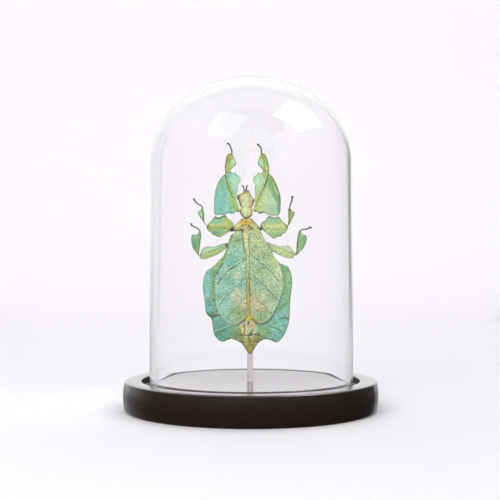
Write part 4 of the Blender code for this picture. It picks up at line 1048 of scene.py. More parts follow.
    # The midrib strip
    wing.band("cream", [(-2.9, 70.8), (-2.4, 66.0), (-1.7, 61.0)], 2.6, 0.95, relief=0.1)
    wing.band("khaki", [(-1.6, 61.5), (-1.4, 52.0), (-1.3, 44.0)], 2.1, 0.95, relief=0.12)
    wing.stroke("cream", [(-1.2, 62.0), (-1.0, 56.0), (-1.0, 50.0)], 0.7, 0.7)
    wing.band("olive yellow", [(-1.3, 44.5), (-1.2, 38.0), (-1.1, 33.5)], 2.0, 0.9, relief=0.12)
    wing.band("gold", [(-1.1, 34.0), (-1.0, 30.0), (-0.8, 26.5)], 1.9, 0.95, relief=0.12)
    wing.stroke("amber", [(-1.3, 33.6), (-1.2, 30.0), (-1.0, 27.0)], 0.9, 0.75)
    wing.band("olive yellow", [(-0.8, 26.5), (-0.7, 24.0), (-0.6, 23.0)], 1.6, 0.95, relief=0.1)
    wing.stroke("brown", [(-4.0, 70.4), (-3.9, 68.6), (-3.3, 64.5), (-2.6, 59.0), (-2.3, 50.0),
                          (-2.2, 40.0), (-2.0, 30.0), (-1.7, 25.5)], (0.55, 0.4), 0.75)
    wing.stroke("olive deep", [(-0.3, 70.4), (-0.5, 66.0), (-0.4, 58.0), (-0.3, 48.0), (-0.2, 38.0),
                               (-0.1, 30.0), (0.2, 24.0)], 0.5, 0.75)
    wing.stroke("olive deep", [(0.0, 41.0), (0.0, 34.0)], 0.7, 0.5)
    finish_piece(wing.made(), "forewing_right", "forewing_chitin", chitin)


# ---------------------------------------------------------------- legs


def lobe(root, left, right, tip, seed, level, half, rows, columns, wave, ground):
    """A toothed, leaf-like lobe of a leg, dried into waves, in its ground colour."""
    leaf = Sheet(root, left, right, tip, columns, rows, seed, level=level, half=half,
                 teeth=LOBE_TEETH, warp=0.2)
    leaf.wave(*wave)
    leaf.fill(ground)
    return leaf


def finish_femur(leaf, node, chitin, *bulbs):
    """Finishes an upper lobe, with the joints that stand out on its root."""
    form = leaf.made()
    for centre, radii, pigment in bulbs:
        bulb(form, centre, radii, pigment)
    finish_piece(form, node, "leg_lobe_chitin", chitin)


def finish_shin(shin, node, chitin):
    """Finishes a lower lobe with its dark edge."""
    shin.rim("olive deep", 0.6, 0.85)
    finish_piece(shin.made(), node, "shin_lobe_chitin", chitin)


def raise_midrib(leaf, midrib):
    """The pale raised midrib of a fore leg's upper lobe, and the side veins that leave it."""
    leaf.ribs("teal deep", midrib, length=9.0, angle=60.0, spacing=2.6, width=0.4, strength=0.4)
    leaf.stroke("lime", midrib, 1.2, 0.55, relief=0.22)


def fore_femora(chitin):
    """Broad lobes that stand up on both sides of the head."""
    leaf = lobe(
        (-5.9, 84.5),
        [(-6.6, 83.7), (-7.6, 83.8), (-8.6, 83.3), (-9.6, 82.7), (-10.6, 82.4), (-12.4, 83.0),
         (-13.8, 82.3), (-15.2, 81.8), (-17.0, 81.9), (-19.0, 81.7), (-20.4, 82.0), (-20.9, 83.6),
         (-21.0, 87.0), (-20.9, 90.0), (-20.6, 93.5), (-20.0, 97.0), (-18.9, 100.0),
         (-17.3, 103.0), (-15.8, 104.8)],
        [(-6.4, 85.6), (-6.6, 87.0), (-7.2, 89.0), (-7.7, 91.0), (-7.8, 93.0), (-7.4, 95.5),
         (-7.1, 97.5), (-7.1, 99.2), (-6.3, 100.2), (-5.5, 101.3), (-5.3, 102.5), (-5.7, 103.7),
         (-6.6, 104.7), (-7.8, 105.5), (-8.2, 106.5), (-8.6, 107.0), (-9.3, 106.4), (-10.3, 106.8),
         (-11.3, 107.2), (-12.6, 106.4)],
        (-14.8, 105.6), seed=71, level=FORE_LEVEL, half=LEG_HALF, rows=150, columns=110,
        wave=(12.0, 0.2), ground="teal",
    )
    midrib = [(-14.6, 105.0), (-13.9, 103.0), (-13.2, 100.5), (-12.5, 98.0), (-11.6, 96.0),
              (-10.8, 94.0), (-10.0, 92.0), (-9.3, 90.0), (-8.0, 86.5), (-7.0, 84.8)]
    leaf.patch("turquoise", (-18.0, 85.4), (2.6, 5.4), 0.8)
    leaf.patch("leaf", (-16.4, 101.0), (2.8, 5.0), 0.55)
    leaf.patch("mint", (-8.0, 102.5), (3.6, 4.6), 1.0)
    leaf.patch("mint", (-9.0, 96.5), (2.2, 4.4), 0.7)
    leaf.stroke("yellow green", [(-13.2, 101.0), (-12.0, 97.5), (-10.8, 93.5), (-9.6, 90.0), (-8.2, 86.6)],
                (1.8, 4.6), 0.85)
    leaf.patch("lime", (-8.2, 89.4), (1.2, 2.4), 0.6)
    leaf.patch("moss", (-9.2, 86.9), (1.3, 1.4), 0.75)
    leaf.patch("leaf", (-10.9, 85.4), (1.8, 1.8), 0.6)
    leaf.patch("mint", (-12.8, 86.2), (1.8, 2.0), 0.5)
    leaf.rim("leaf deep", 0.9, 0.75, side=-1)
    leaf.rim("leaf deep", 0.6, 0.5, side=1)
    leaf.stroke("olive", [(-19.4, 99.0), (-18.2, 101.4), (-16.8, 103.5), (-15.2, 105.0)], 0.9, 0.85)
    leaf.stroke("olive", [(-7.0, 83.8), (-9.6, 83.0), (-12.4, 83.2), (-15.2, 82.1)], 0.7, 0.6)
    leaf.stroke("cream", [(-7.8, 91.6), (-7.1, 88.6), (-6.4, 86.2), (-7.6, 85.6)], 0.7, 0.8)
    leaf.patch("brown", (-7.0, 84.1), (1.2, 0.8), 0.75)
    leaf.stroke("rose", [(-7.2, 100.0), (-7.2, 97.0)], 0.8, 0.6)
    raise_midrib(leaf, midrib)
    leaf.stroke("olive deep", midrib[:7], (0.9, 0.6), 0.85, relief=0.08)
    leaf.stroke("olive", midrib[6:], 0.5, 0.5, relief=0.08)
    leaf.patches("olive deep", [(-13.2, 105.5, 0.5), (-14.5, 106.4, 0.4)], 0.7)
    leaf.mottle("teal deep", 3.0, 0.25, 8, floor=0.2)
    finish_femur(leaf, "fore_femur_left", chitin, ((-6.1, -0.9, 85.3), (1.1, 0.7, 0.75), "cream"),
                 ((-6.9, -0.6, 84.0), (0.8, 0.6, 0.6), "brown"))

    leaf = lobe(
        (1.75, 84.7),
        [(2.4, 86.0), (2.5, 87.5), (2.9, 89.0), (3.1, 91.0), (3.2, 93.0), (3.0, 95.0),
         (2.8, 96.8), (3.0, 98.8), (2.7, 100.1), (2.0, 101.2), (1.8, 102.3), (2.2, 103.6),
         (3.1, 104.8), (4.2, 105.4), (4.7, 106.8), (5.3, 106.5), (6.2, 106.0), (7.1, 106.6),
         (8.0, 107.3), (9.4, 107.0)],
        [(2.5, 83.9), (3.4, 84.0), (4.3, 83.6), (5.2, 82.8), (6.2, 82.4), (7.4, 82.8),
         (8.4, 83.1), (9.5, 82.7), (10.5, 82.0), (12.0, 81.5), (14.0, 81.4), (16.0, 81.5),
         (17.2, 82.2), (17.8, 84.0), (18.0, 87.0), (18.1, 90.0), (17.8, 93.0), (17.0, 96.0),
         (15.9, 99.0), (14.5, 102.1), (12.9, 104.6)],
        (11.2, 106.4), seed=81, level=FORE_LEVEL, half=LEG_HALF, rows=150, columns=110,
        wave=(12.0, 0.2), ground="sage",
    )
    midrib = [(11.0, 106.0), (10.4, 104.0), (9.8, 102.0), (8.8, 99.0), (7.5, 96.5), (6.3, 94.3),
              (5.2, 92.0), (3.8, 87.0), (3.0, 85.2)]
    leaf.patch("mint", (4.6, 101.5), (2.8, 4.6), 1.0)
    leaf.patch("mint", (11.2, 91.2), (3.4, 4.6), 0.85)
    leaf.patch("turquoise", (15.2, 85.0), (1.9, 3.6), 0.6)
    leaf.patch("teal", (11.0, 85.4), (3.0, 2.6), 0.5)
    leaf.patch("moss", (12.2, 103.4), (1.6, 1.7), 0.7)
    leaf.patch("leaf", (12.6, 100.6), (1.9, 1.9), 0.85)
    leaf.stroke("leaf", [(12.2, 101.0), (12.8, 97.6), (14.0, 93.6), (15.6, 90.4)], (3.6, 2.0), 0.75)
    leaf.stroke("leaf deep", [(12.0, 101.4), (12.7, 98.0), (14.0, 94.4), (15.4, 91.6)], (3.0, 2.2), 0.4)
    leaf.stroke("leaf deep", [(16.8, 92.5), (17.1, 87.5), (17.2, 84.0)], 1.9, 0.75)
    leaf.stroke("yellow green", [(8.6, 98.0), (6.8, 94.0), (5.6, 89.5), (4.6, 86.4)], (2.0, 5.0), 0.8)
    leaf.patch("yellow green", (9.0, 104.6), (1.4, 2.2), 0.85)
    leaf.patches("ivory", [(8.0, 88.0, 4.6), (9.6, 94.0, 3.4), (4.8, 101.0, 3.2)], 0.32)
    leaf.patch("moss", (3.3, 87.0), (0.8, 0.8), 0.75)
    leaf.stroke("cream", [(3.3, 92.0), (3.0, 89.6), (2.5, 87.2)], 0.8, 0.8)
    leaf.stroke("mint", [(13.6, 91.6), (15.0, 88.6), (15.7, 86.4)], 0.7, 0.85)
    leaf.rim("leaf deep", 0.8, 0.55, side=-1)
    leaf.stroke("olive", [(12.9, 104.2), (14.4, 101.8), (15.7, 98.8), (16.8, 95.7), (17.5, 92.5),
                          (17.8, 89.5)], (1.5, 0.9), 0.85)
    leaf.rim("olive deep", 0.6, 0.85, side=1)
    leaf.stroke("olive", [(2.6, 84.4), (4.2, 84.0), (6.0, 82.9), (8.4, 83.4), (10.4, 82.4)], 0.8, 0.8)
    raise_midrib(leaf, midrib)
    leaf.stroke("olive", midrib[2:8], (0.9, 0.6), 0.85, relief=0.08)
    leaf.stroke("forest", midrib[:4], (1.1, 0.8), 0.9)
    leaf.mottle("teal deep", 3.0, 0.25, 8, floor=0.2)
    finish_femur(leaf, "fore_femur_right", chitin, ((2.1, -0.9, 85.1), (1.1, 0.7, 0.75), "cream"),
                 ((3.1, -0.6, 84.2), (0.8, 0.6, 0.6), "brown"))


def fore_shins(chitin):
    shin = lobe(
        (-13.7, 104.6),
        [(-14.4, 106.2), (-14.6, 108.5), (-14.7, 110.3), (-14.3, 112.5), (-14.0, 114.8),
         (-13.5, 116.3), (-12.7, 117.5), (-11.6, 118.1)],
        [(-12.0, 106.6), (-11.4, 107.8), (-11.1, 108.6), (-10.4, 109.2), (-9.4, 110.2),
         (-8.4, 110.9), (-8.0, 112.0), (-8.4, 113.2), (-9.0, 114.7), (-9.7, 116.4)],
        (-10.4, 117.7), seed=91, level=FORE_SHIN_LEVEL, half=SHIN_HALF, rows=SHIN_ROWS, columns=60,
        wave=(7.0, 0.12), ground="yellow green",
    )
    shin.patch("olive yellow", (-12.6, 115.0), (2.0, 3.0), 0.85)
    shin.patch("mint", (-9.6, 112.2), (1.7, 2.4), 0.95)
    shin.patch("lime", (-13.2, 108.5), (1.4, 2.2), 0.6)
    shin.stroke("olive deep", [(-13.6, 106.0), (-14.2, 108.6), (-14.3, 111.2), (-13.6, 115.8)], 0.5, 0.75)
    shin.stroke("olive deep", [(-13.0, 106.4), (-12.6, 109.6), (-11.9, 113.6), (-10.7, 117.2)], 0.35, 0.7,
                relief=0.15)
    shin.patches("brown", [(-13.9, 110.4, 0.6), (-13.2, 113.4, 0.5)], 0.7)
    finish_shin(shin, "fore_tibia_left", chitin)

    shin = lobe(
        (10.0, 104.8),
        [(8.5, 106.8), (7.8, 107.9), (7.1, 108.8), (6.2, 109.8), (5.4, 110.5), (4.8, 111.1),
         (4.7, 112.2), (4.9, 113.5), (5.4, 115.0), (6.0, 116.4)],
        [(11.1, 106.9), (11.3, 108.5), (11.1, 110.5), (10.7, 112.3), (10.1, 114.5),
         (9.5, 116.2), (8.9, 117.2), (8.2, 117.9), (7.4, 117.6)],
        (6.6, 117.7), seed=101, level=FORE_SHIN_LEVEL, half=SHIN_HALF, rows=SHIN_ROWS, columns=60,
        wave=(7.0, 0.12), ground="yellow green",
    )
    shin.patch("leaf", (9.4, 113.0), (1.6, 4.0), 0.6)
    shin.patch("mint", (6.0, 112.0), (1.6, 2.4), 0.95)
    shin.patch("olive yellow", (8.0, 116.2), (1.8, 1.8), 0.8)
    shin.patch("lime", (10.0, 108.4), (1.2, 2.0), 0.6)
    shin.stroke("forest", [(10.2, 106.6), (10.9, 109.0), (10.5, 112.2), (9.3, 116.0)], 0.4, 0.6)
    shin.stroke("olive deep", [(9.4, 106.6), (9.0, 109.4), (8.2, 113.4), (7.0, 117.2)], 0.35, 0.7,
                relief=0.15)
    finish_shin(shin, "fore_tibia_right", chitin)


def mid_femora(chitin):
    leaf = lobe(
        (-9.7, 75.3),
        [(-10.0, 74.0), (-10.7, 73.0), (-11.8, 72.2), (-12.7, 71.8), (-13.6, 71.0), (-15.0, 70.1),
         (-16.5, 69.2), (-17.6, 68.6), (-18.6, 68.9), (-20.3, 69.7), (-22.1, 70.3), (-22.7, 71.3),
         (-23.3, 72.0), (-24.3, 72.1), (-24.8, 73.2), (-25.4, 74.2)],
        [(-9.5, 76.5), (-9.9, 77.3), (-10.8, 78.2), (-12.0, 79.0), (-12.9, 79.8), (-13.7, 80.8),
         (-14.4, 81.7), (-15.6, 81.5), (-17.0, 80.9), (-18.4, 80.4), (-19.4, 80.7), (-20.3, 81.1),
         (-21.3, 80.2), (-22.4, 79.0), (-23.6, 77.7), (-24.7, 76.3)],
        (-25.3, 75.2), seed=111, level=MID_LEVEL, half=LEG_HALF, rows=120, columns=84,
        wave=(9.0, 0.18), ground="fresh leaf",
    )
    leaf.stroke("teal", [(-23.4, 77.0), (-20.4, 78.8), (-17.0, 78.6)], 4.0, 0.55)
    leaf.stroke("moss", [(-22.6, 71.6), (-18.0, 70.4), (-14.2, 71.8)], 2.0, 0.5)
    leaf.stroke("yellow green", [(-24.0, 74.6), (-17.0, 74.8), (-11.0, 74.8)], 3.4, 0.85)
    leaf.patch("yellow green", (-12.8, 78.0), (2.8, 3.0), 0.95)
    leaf.patch("lime", (-13.2, 77.0), (1.6, 1.6), 0.6)
    leaf.ribs("leaf deep", [(-24.6, 75.1), (-17.0, 75.2), (-10.0, 75.2)], length=6.5, angle=55.0,
              spacing=2.2, width=0.45, strength=0.5)
    leaf.stroke("cream", [(-23.4, 75.9), (-20.0, 76.1), (-16.5, 76.2), (-12.8, 76.1)], 0.5, 0.75,
                relief=0.2)
    leaf.stroke("rose", [(-22.6, 75.4), (-18.0, 75.5), (-13.4, 75.6)], 0.3, 0.4)
    leaf.patch("teal deep", (-19.6, 71.4), (3.2, 1.6), 0.5)
    leaf.stroke("yellow green", [(-17.4, 69.6), (-14.2, 71.4), (-11.8, 73.2)], 1.4, 0.8)
    leaf.stroke("olive", [(-23.6, 73.9), (-17.0, 74.1), (-11.6, 73.6)], 0.55, 0.65, relief=-0.08)
    leaf.stroke("forest", [(-20.6, 80.6), (-18.6, 79.9), (-17.0, 80.4), (-15.6, 81.1), (-14.3, 81.2)],
                0.9, 0.9)
    leaf.stroke("umber", [(-12.2, 72.2), (-10.8, 73.0), (-9.9, 74.6)], 1.5, 0.9)
    leaf.patch("brown", (-24.9, 75.0), (0.9, 1.3), 0.85)
    leaf.rim("olive", 0.6, 0.75)
    finish_femur(leaf, "mid_femur_left", chitin, ((-10.6, 0.1, 73.0), (0.9, 0.7, 1.1), "umber"))

    leaf = lobe(
        (6.5, 75.0),
        [(6.2, 76.1), (6.7, 77.1), (7.5, 77.9), (8.5, 78.3), (9.3, 78.8), (9.8, 79.8),
         (10.3, 80.5), (11.4, 81.2), (12.5, 80.9), (13.7, 80.5), (15.2, 80.4), (16.3, 80.9),
         (17.2, 80.5), (18.1, 79.7), (19.2, 78.4), (20.3, 77.1), (21.2, 76.3)],
        [(6.9, 73.8), (7.7, 72.9), (9.0, 71.7), (10.8, 70.2), (12.4, 69.0), (14.0, 67.9),
         (15.4, 68.6), (16.9, 69.1), (18.4, 69.3), (19.0, 70.2), (19.7, 70.9), (20.6, 71.1),
         (21.1, 72.0), (21.9, 72.9), (22.4, 74.0)],
        (22.3, 75.4), seed=121, level=MID_LEVEL, half=LEG_HALF, rows=120, columns=84,
        wave=(9.0, 0.18), ground="fresh leaf",
    )
    leaf.patch("moss", (15.0, 70.2), (4.6, 1.5), 0.45)
    leaf.stroke("lime", [(21.0, 75.4), (14.5, 75.6), (8.0, 75.8)], 5.0, 0.85)
    leaf.stroke("yellow green", [(19.0, 77.2), (13.0, 77.0), (8.0, 77.0)], 1.6, 0.6)
    leaf.patch("ivory", (13.6, 74.6), (6.0, 4.0), 0.35)
    leaf.stroke("teal", [(9.4, 78.0), (12.6, 78.6), (16.2, 78.4)], 3.0, 0.5)
    leaf.ribs("leaf deep", [(21.6, 75.0), (14.5, 75.0), (7.0, 75.2)], length=6.5, angle=55.0,
              spacing=2.2, width=0.45, strength=0.5)
    leaf.stroke("cream", [(20.0, 75.4), (17.0, 75.3), (13.5, 75.4), (9.6, 75.6)], 0.5, 0.8, relief=0.2)
    leaf.stroke("cream", [(19.4, 74.4), (16.0, 74.2), (12.5, 74.4)], 0.4, 0.6, relief=0.1)
    leaf.stroke("olive", [(20.6, 73.6), (14.5, 73.5), (8.6, 73.4)], 0.55, 0.65, relief=-0.08)
    leaf.stroke("forest", [(9.6, 79.4), (10.4, 80.4), (11.6, 80.9), (13.4, 80.3)], 0.9, 0.9)
    leaf.patch("olive deep", (16.0, 80.5), (1.2, 0.5), 0.9)
    leaf.stroke("brown", [(20.3, 76.6), (21.6, 75.6), (22.3, 74.4)], 1.4, 0.9)
    leaf.stroke("umber", [(8.6, 72.2), (7.4, 73.4), (6.6, 75.4)], 0.9, 0.85)
    leaf.rim("olive deep", 0.5, 0.8)
    finish_femur(leaf, "mid_femur_right", chitin, ((6.4, 0.1, 73.6), (0.8, 0.7, 1.1), "olive deep"))


def mid_shins(chitin):
    shin = lobe(
        (-24.8, 74.9),
        [(-26.0, 75.9), (-27.0, 77.2), (-28.0, 78.7), (-29.0, 80.1), (-29.9, 81.5),
         (-30.5, 82.7), (-30.4, 83.6), (-29.7, 84.2), (-28.8, 84.9), (-28.4, 85.8)],
        [(-25.9, 76.6), (-26.5, 77.3), (-26.7, 78.4), (-26.8, 80.0), (-26.9, 82.0),
         (-27.1, 84.0), (-27.4, 85.6)],
        (-27.9, 86.6), seed=131, level=MID_LEVEL, half=SHIN_HALF, rows=SHIN_ROWS, columns=48,
        wave=(7.0, 0.1), ground="leaf",
    )
    shin.patch("mint", (-28.8, 82.4), (1.4, 2.2), 0.7)
    shin.stroke("olive", [(-26.0, 76.4), (-27.2, 79.0), (-27.6, 82.0), (-27.8, 86.0)], 0.6, 0.7, relief=0.12)
    shin.stroke("brown", [(-25.8, 76.0), (-26.4, 77.6), (-26.9, 80.0)], 0.35, 0.5)
    finish_shin(shin, "mid_tibia_left", chitin)

    shin = lobe(
        (22.0, 74.9),
        [(22.3, 76.6), (22.6, 78.5), (22.6, 81.0), (22.5, 83.0), (22.6, 84.6), (22.9, 85.8)],
        [(23.5, 76.6), (24.1, 77.8), (24.8, 79.3), (25.5, 80.7), (26.1, 82.0), (26.2, 83.1),
         (25.8, 83.8), (25.1, 84.0), (24.4, 84.7), (23.9, 85.6)],
        (23.4, 86.5), seed=141, level=MID_LEVEL, half=SHIN_HALF, rows=SHIN_ROWS, columns=48,
        wave=(7.0, 0.1), ground="yellow green",
    )
    shin.stroke("tan", [(22.9, 84.6), (23.0, 81.0), (23.0, 78.6)], 0.9, 0.7)
    shin.patch("leaf", (24.8, 82.0), (1.2, 2.0), 0.6)
    shin.patch("olive deep", (23.6, 85.4), (1.2, 1.2), 0.85)
    shin.stroke("olive", [(23.0, 76.6), (23.4, 79.4), (23.4, 82.6), (23.3, 86.0)], 0.6, 0.7, relief=0.12)
    finish_shin(shin, "mid_tibia_right", chitin)


def hind_femora(chitin):
    """Their stems run behind the abdomen to the underside of the thorax."""
    leaf = lobe(
        (-5.0, 70.4),
        [(-5.3, 69.3), (-7.4, 67.3), (-9.8, 65.3), (-11.6, 63.8), (-12.7, 62.9), (-14.6, 61.7),
         (-16.3, 60.5), (-18.0, 59.3), (-19.8, 58.3), (-22.0, 57.4), (-24.0, 56.6), (-25.8, 56.0),
         (-27.4, 55.7), (-28.6, 56.0)],
        [(-6.0, 70.3), (-8.3, 68.4), (-10.8, 66.4), (-12.2, 65.3), (-12.9, 65.1), (-13.5, 65.5),
         (-14.6, 65.4), (-16.2, 64.8), (-18.0, 64.2), (-20.0, 63.4), (-21.6, 63.1), (-23.4, 63.2),
         (-24.6, 63.5), (-25.4, 63.1), (-26.4, 63.1), (-27.4, 62.5), (-28.2, 61.4), (-28.8, 60.0),
         (-29.3, 58.7)],
        (-29.5, 57.2), seed=151, level=HIND_LEVEL, half=LEG_HALF, rows=150, columns=64,
        wave=(9.0, 0.15), ground="sage",
    )
    leaf.stroke("mint", [(-28.0, 61.0), (-24.0, 62.2), (-19.0, 62.6), (-14.4, 64.2)], 2.2, 0.7)
    leaf.stroke("teal", [(-27.6, 61.8), (-24.6, 62.9), (-20.0, 63.0), (-15.0, 64.8)], 1.1, 0.7)
    leaf.stroke("yellow green", [(-27.6, 57.4), (-22.0, 59.4), (-15.0, 62.6)], 1.2, 0.7)
    leaf.stroke("olive", [(-28.4, 58.4), (-22.0, 60.8), (-16.0, 63.2), (-12.8, 64.4)], 0.45, 0.8, relief=0.18)
    leaf.stroke("moss", [(-27.6, 56.6), (-22.0, 58.4), (-16.0, 61.4), (-12.6, 63.4)], 0.45, 0.6, relief=0.1)
    leaf.stroke("umber", [(-28.6, 61.4), (-29.1, 59.2), (-29.2, 57.2)], 1.0, 0.9)
    leaf.patch("umber", (-13.3, 64.4), (1.3, 1.5), 0.95)
    leaf.rim("olive", 0.5, 0.75)
    finish_femur(leaf, "hind_femur_left", chitin)

    leaf = lobe(
        (1.6, 70.4),
        [(2.6, 70.2), (4.9, 68.7), (7.4, 67.1), (9.3, 66.1), (11.3, 65.5), (13.2, 64.8),
         (15.2, 64.2), (17.0, 63.7), (18.6, 63.4), (20.0, 63.7), (21.2, 63.6), (22.4, 63.9),
         (23.2, 63.6), (24.2, 62.4), (25.1, 61.2), (25.8, 60.4), (25.9, 59.4)],
        [(1.7, 69.4), (3.9, 67.6), (6.4, 66.0), (8.8, 64.9), (9.9, 64.4), (10.8, 63.2),
         (11.8, 61.8), (12.7, 60.5), (13.5, 60.0), (14.9, 59.6), (16.6, 58.6), (18.6, 57.8),
         (20.5, 57.0), (22.3, 56.5), (24.0, 56.3), (25.2, 56.5), (25.8, 57.2)],
        (26.0, 58.2), seed=161, level=HIND_LEVEL, half=LEG_HALF, rows=150, columns=64,
        wave=(9.0, 0.15), ground="sage",
    )
    leaf.rim("wing pale", 2.4, 0.8)
    leaf.stroke("lime", [(24.6, 58.0), (19.0, 60.2), (13.6, 62.6)], 2.2, 0.8)
    leaf.stroke("mint", [(23.6, 62.0), (19.0, 62.6), (14.0, 64.0)], 1.2, 0.6)
    leaf.stroke("ivory", [(24.0, 60.2), (18.6, 61.4), (13.4, 62.8)], 4.0, 0.3)
    leaf.stroke("olive", [(25.4, 59.0), (19.5, 61.4), (14.0, 63.4), (10.4, 65.0)], 0.4, 0.75, relief=0.18)
    leaf.stroke("moss", [(25.0, 57.4), (19.0, 59.2), (13.6, 61.6), (10.6, 63.8)], 0.4, 0.55, relief=0.1)
    leaf.stroke("leaf deep", [(12.2, 60.8), (10.8, 63.0), (9.6, 64.8)], 0.7, 0.5)
    leaf.stroke("brown", [(25.8, 60.6), (25.9, 58.2), (25.6, 57.0)], 0.9, 0.85)
    leaf.patch("olive deep", (9.8, 65.6), (0.9, 1.0), 0.85)
    leaf.rim("olive", 0.5, 0.75)
    finish_femur(leaf, "hind_femur_right", chitin)


def hind_shins(chitin):
    shin = lobe(
        (-29.2, 57.0),
        [(-30.5, 58.2), (-31.6, 59.6), (-32.6, 61.1), (-33.6, 62.8), (-34.2, 64.8), (-34.5, 67.0),
         (-34.4, 69.0), (-33.9, 70.1), (-33.2, 70.4), (-32.2, 70.2), (-31.2, 70.4), (-30.4, 71.2)],
        [(-29.9, 58.6), (-29.9, 59.8), (-29.8, 61.0), (-29.5, 63.0), (-29.2, 65.5), (-28.8, 67.8),
         (-28.6, 69.8), (-28.8, 71.4)],
        (-29.3, 72.3), seed=171, level=HIND_LEVEL, half=SHIN_HALF, rows=SHIN_ROWS, columns=60,
        wave=(7.0, 0.12), ground="leaf",
    )
    shin.patch("teal deep", (-32.2, 65.5), (1.8, 4.2), 0.7)
    shin.patch("mint", (-32.6, 68.6), (1.3, 1.4), 0.5)
    shin.stroke("olive yellow", [(-30.2, 58.6), (-30.0, 62.0), (-29.6, 66.0), (-29.2, 70.6)], 0.8, 0.75,
                relief=0.12)
    finish_shin(shin, "hind_tibia_left", chitin)

    shin = lobe(
        (25.7, 58.0),
        [(26.4, 59.0), (27.3, 60.5), (27.4, 62.5), (27.6, 65.0), (27.8, 67.3), (28.2, 69.6),
         (28.7, 71.7)],
        [(27.6, 58.2), (28.6, 59.2), (30.0, 60.6), (31.4, 62.2), (32.5, 64.2), (33.2, 66.2),
         (33.5, 68.0), (33.3, 69.4), (32.7, 70.1), (31.9, 69.9), (31.1, 70.4), (30.4, 71.4)],
        (29.4, 72.9), seed=181, level=HIND_LEVEL, half=SHIN_HALF, rows=SHIN_ROWS, columns=60,
        wave=(7.0, 0.12), ground="fresh leaf",
    )
    shin.patch("teal", (31.4, 65.4), (1.6, 3.0), 0.25)
    shin.patch("leaf", (30.2, 63.6), (1.8, 3.6), 0.6)
    shin.stroke("moss", [(27.4, 61.0), (27.9, 66.0), (28.6, 71.0)], 1.4, 0.7)
    shin.patch("leaf deep", (31.8, 66.8), (1.3, 3.0), 0.35)
    shin.stroke("olive", [(27.4, 59.0), (28.2, 62.6), (28.5, 67.0), (29.2, 72.0)], 0.7, 0.7, relief=0.12)
    finish_shin(shin, "hind_tibia_right", chitin)


def feet(chitin):
    """Each foot has five beaded joints and a pair of claws.

    It is given as its depth, its line of (across, up), its widths, and the middle and the tip
    of each claw as (across, depth, up).
    """
    table = {
        "fore_tarsus_left": (
            FORE_SHIN_LEVEL,
            [(-10.7, 117.0), (-10.5, 119.0), (-11.3, 121.3), (-12.1, 123.2), (-12.9, 123.6)],
            (0.9, 0.85, 1.0),
            [((-13.3, -0.5, 123.7), (-13.5, -0.7, 123.4)), ((-13.2, 0.4, 123.6), (-13.4, 0.6, 123.2))]),
        "fore_tarsus_right": (
            FORE_SHIN_LEVEL,
            [(6.9, 117.0), (6.8, 119.2), (6.6, 120.6), (6.1, 121.5), (5.4, 122.4), (4.8, 123.0)],
            (0.9, 0.85, 1.1),
            [((4.4, -0.5, 123.3), (4.2, -0.7, 122.9)), ((4.5, 0.4, 123.4), (4.3, 0.6, 123.1))]),
        "mid_tarsus_left": (
            MID_LEVEL,
            [(-27.7, 85.9), (-28.6, 87.3), (-30.2, 88.0), (-31.3, 89.0), (-32.2, 90.0), (-32.8, 91.0)],
            (0.85, 0.8, 1.0),
            [((-33.2, 0.1, 91.3), (-33.5, -0.1, 91.1)), ((-33.0, 0.9, 91.4), (-33.4, 1.1, 91.3))]),
        "mid_tarsus_right": (
            MID_LEVEL,
            [(23.4, 85.8), (23.7, 87.6), (24.2, 88.8), (24.6, 90.0), (24.8, 91.4), (24.9, 92.4)],
            (0.85, 0.85, 1.05),
            [((25.3, 0.3, 92.8), (25.5, 0.2, 92.4)), ((24.5, 0.8, 92.8), (24.1, 0.9, 92.5))]),
        "hind_tarsus_left": (
            HIND_LEVEL,
            [(-29.2, 71.6), (-29.8, 73.1), (-30.9, 74.0), (-32.0, 74.5), (-33.2, 75.1), (-34.2, 75.8),
             (-34.6, 76.5)],
            (0.85, 0.8, 1.0),
            [((-34.9, 1.3, 76.8), (-35.1, 1.1, 76.5)), ((-34.7, 2.1, 76.9), (-34.9, 2.3, 76.7))]),
        "hind_tarsus_right": (
            HIND_LEVEL,
            [(29.3, 72.0), (30.6, 73.2), (32.6, 73.4), (34.0, 73.8), (35.2, 74.4), (35.8, 74.5)],
            (0.85, 0.85, 1.1),
            [((36.2, 1.3, 74.6), (36.3, 1.1, 74.2)), ((36.2, 2.1, 74.5), (36.4, 2.3, 74.2))]),
    }
    for node, (level, line, widths, claws) in table.items():
        form = strand_form()
        points = [Vector((x, level, z)) for x, z in line]
        bead_string(form, points, widths, ("grey brown", "umber"), beads=5, rings=80)
        bulb(form, points[-1], (0.62, 0.5, 0.62), "umber")
        for middle, tip in claws:
            bead_string(form, [points[-1], middle, tip], (0.55, 0.5, 0.18), ("umber", "umber"), sides=10,
                        rings=18)
        finish_piece(form, node, "foot_chitin", chitin)


# ---------------------------------------------------------------- studio


def backdrop(paper):
    """A pale floor that curves up all round, far outside the view."""
    profile = [(SWEEP_FLAT * k / SWEEP_RINGS, 0.0) for k in range(SWEEP_RINGS)]
    profile += arc((SWEEP_FLAT, SWEEP_CURVE), (SWEEP_CURVE, SWEEP_CURVE), 270, 360, SWEEP_STEPS)
    profile += [(SWEEP_FLAT + SWEEP_CURVE, SWEEP_TOP)]
    form = turned([(r, z - SWEEP_DROP) for r, z in profile], steps=SMALL_TURN_STEPS)
    bmesh.ops.reverse_faces(form, faces=form.faces)
    sweep = add_to_scene(form, "pale_sweep", paper)
    sweep.visible_glossy = False


def soft_light(name, place, size, power, aim=OBJECT_MIDDLE):
    """A white rectangular light at a place, turned to the object; power in watts."""
    lamp = bpy.data.lights.new(name, "AREA")
    lamp.shape = "RECTANGLE"
    lamp.size = size[0] * MM
    lamp.size_y = size[1] * MM
    lamp.energy = power
    light = bpy.data.objects.new(name, lamp)
    light.location = Vector(place) * MM
    light.rotation_euler = (Vector(aim) - Vector(place)).to_track_quat("-Z", "Y").to_euler()
    bpy.context.scene.collection.objects.link(light)
    return light


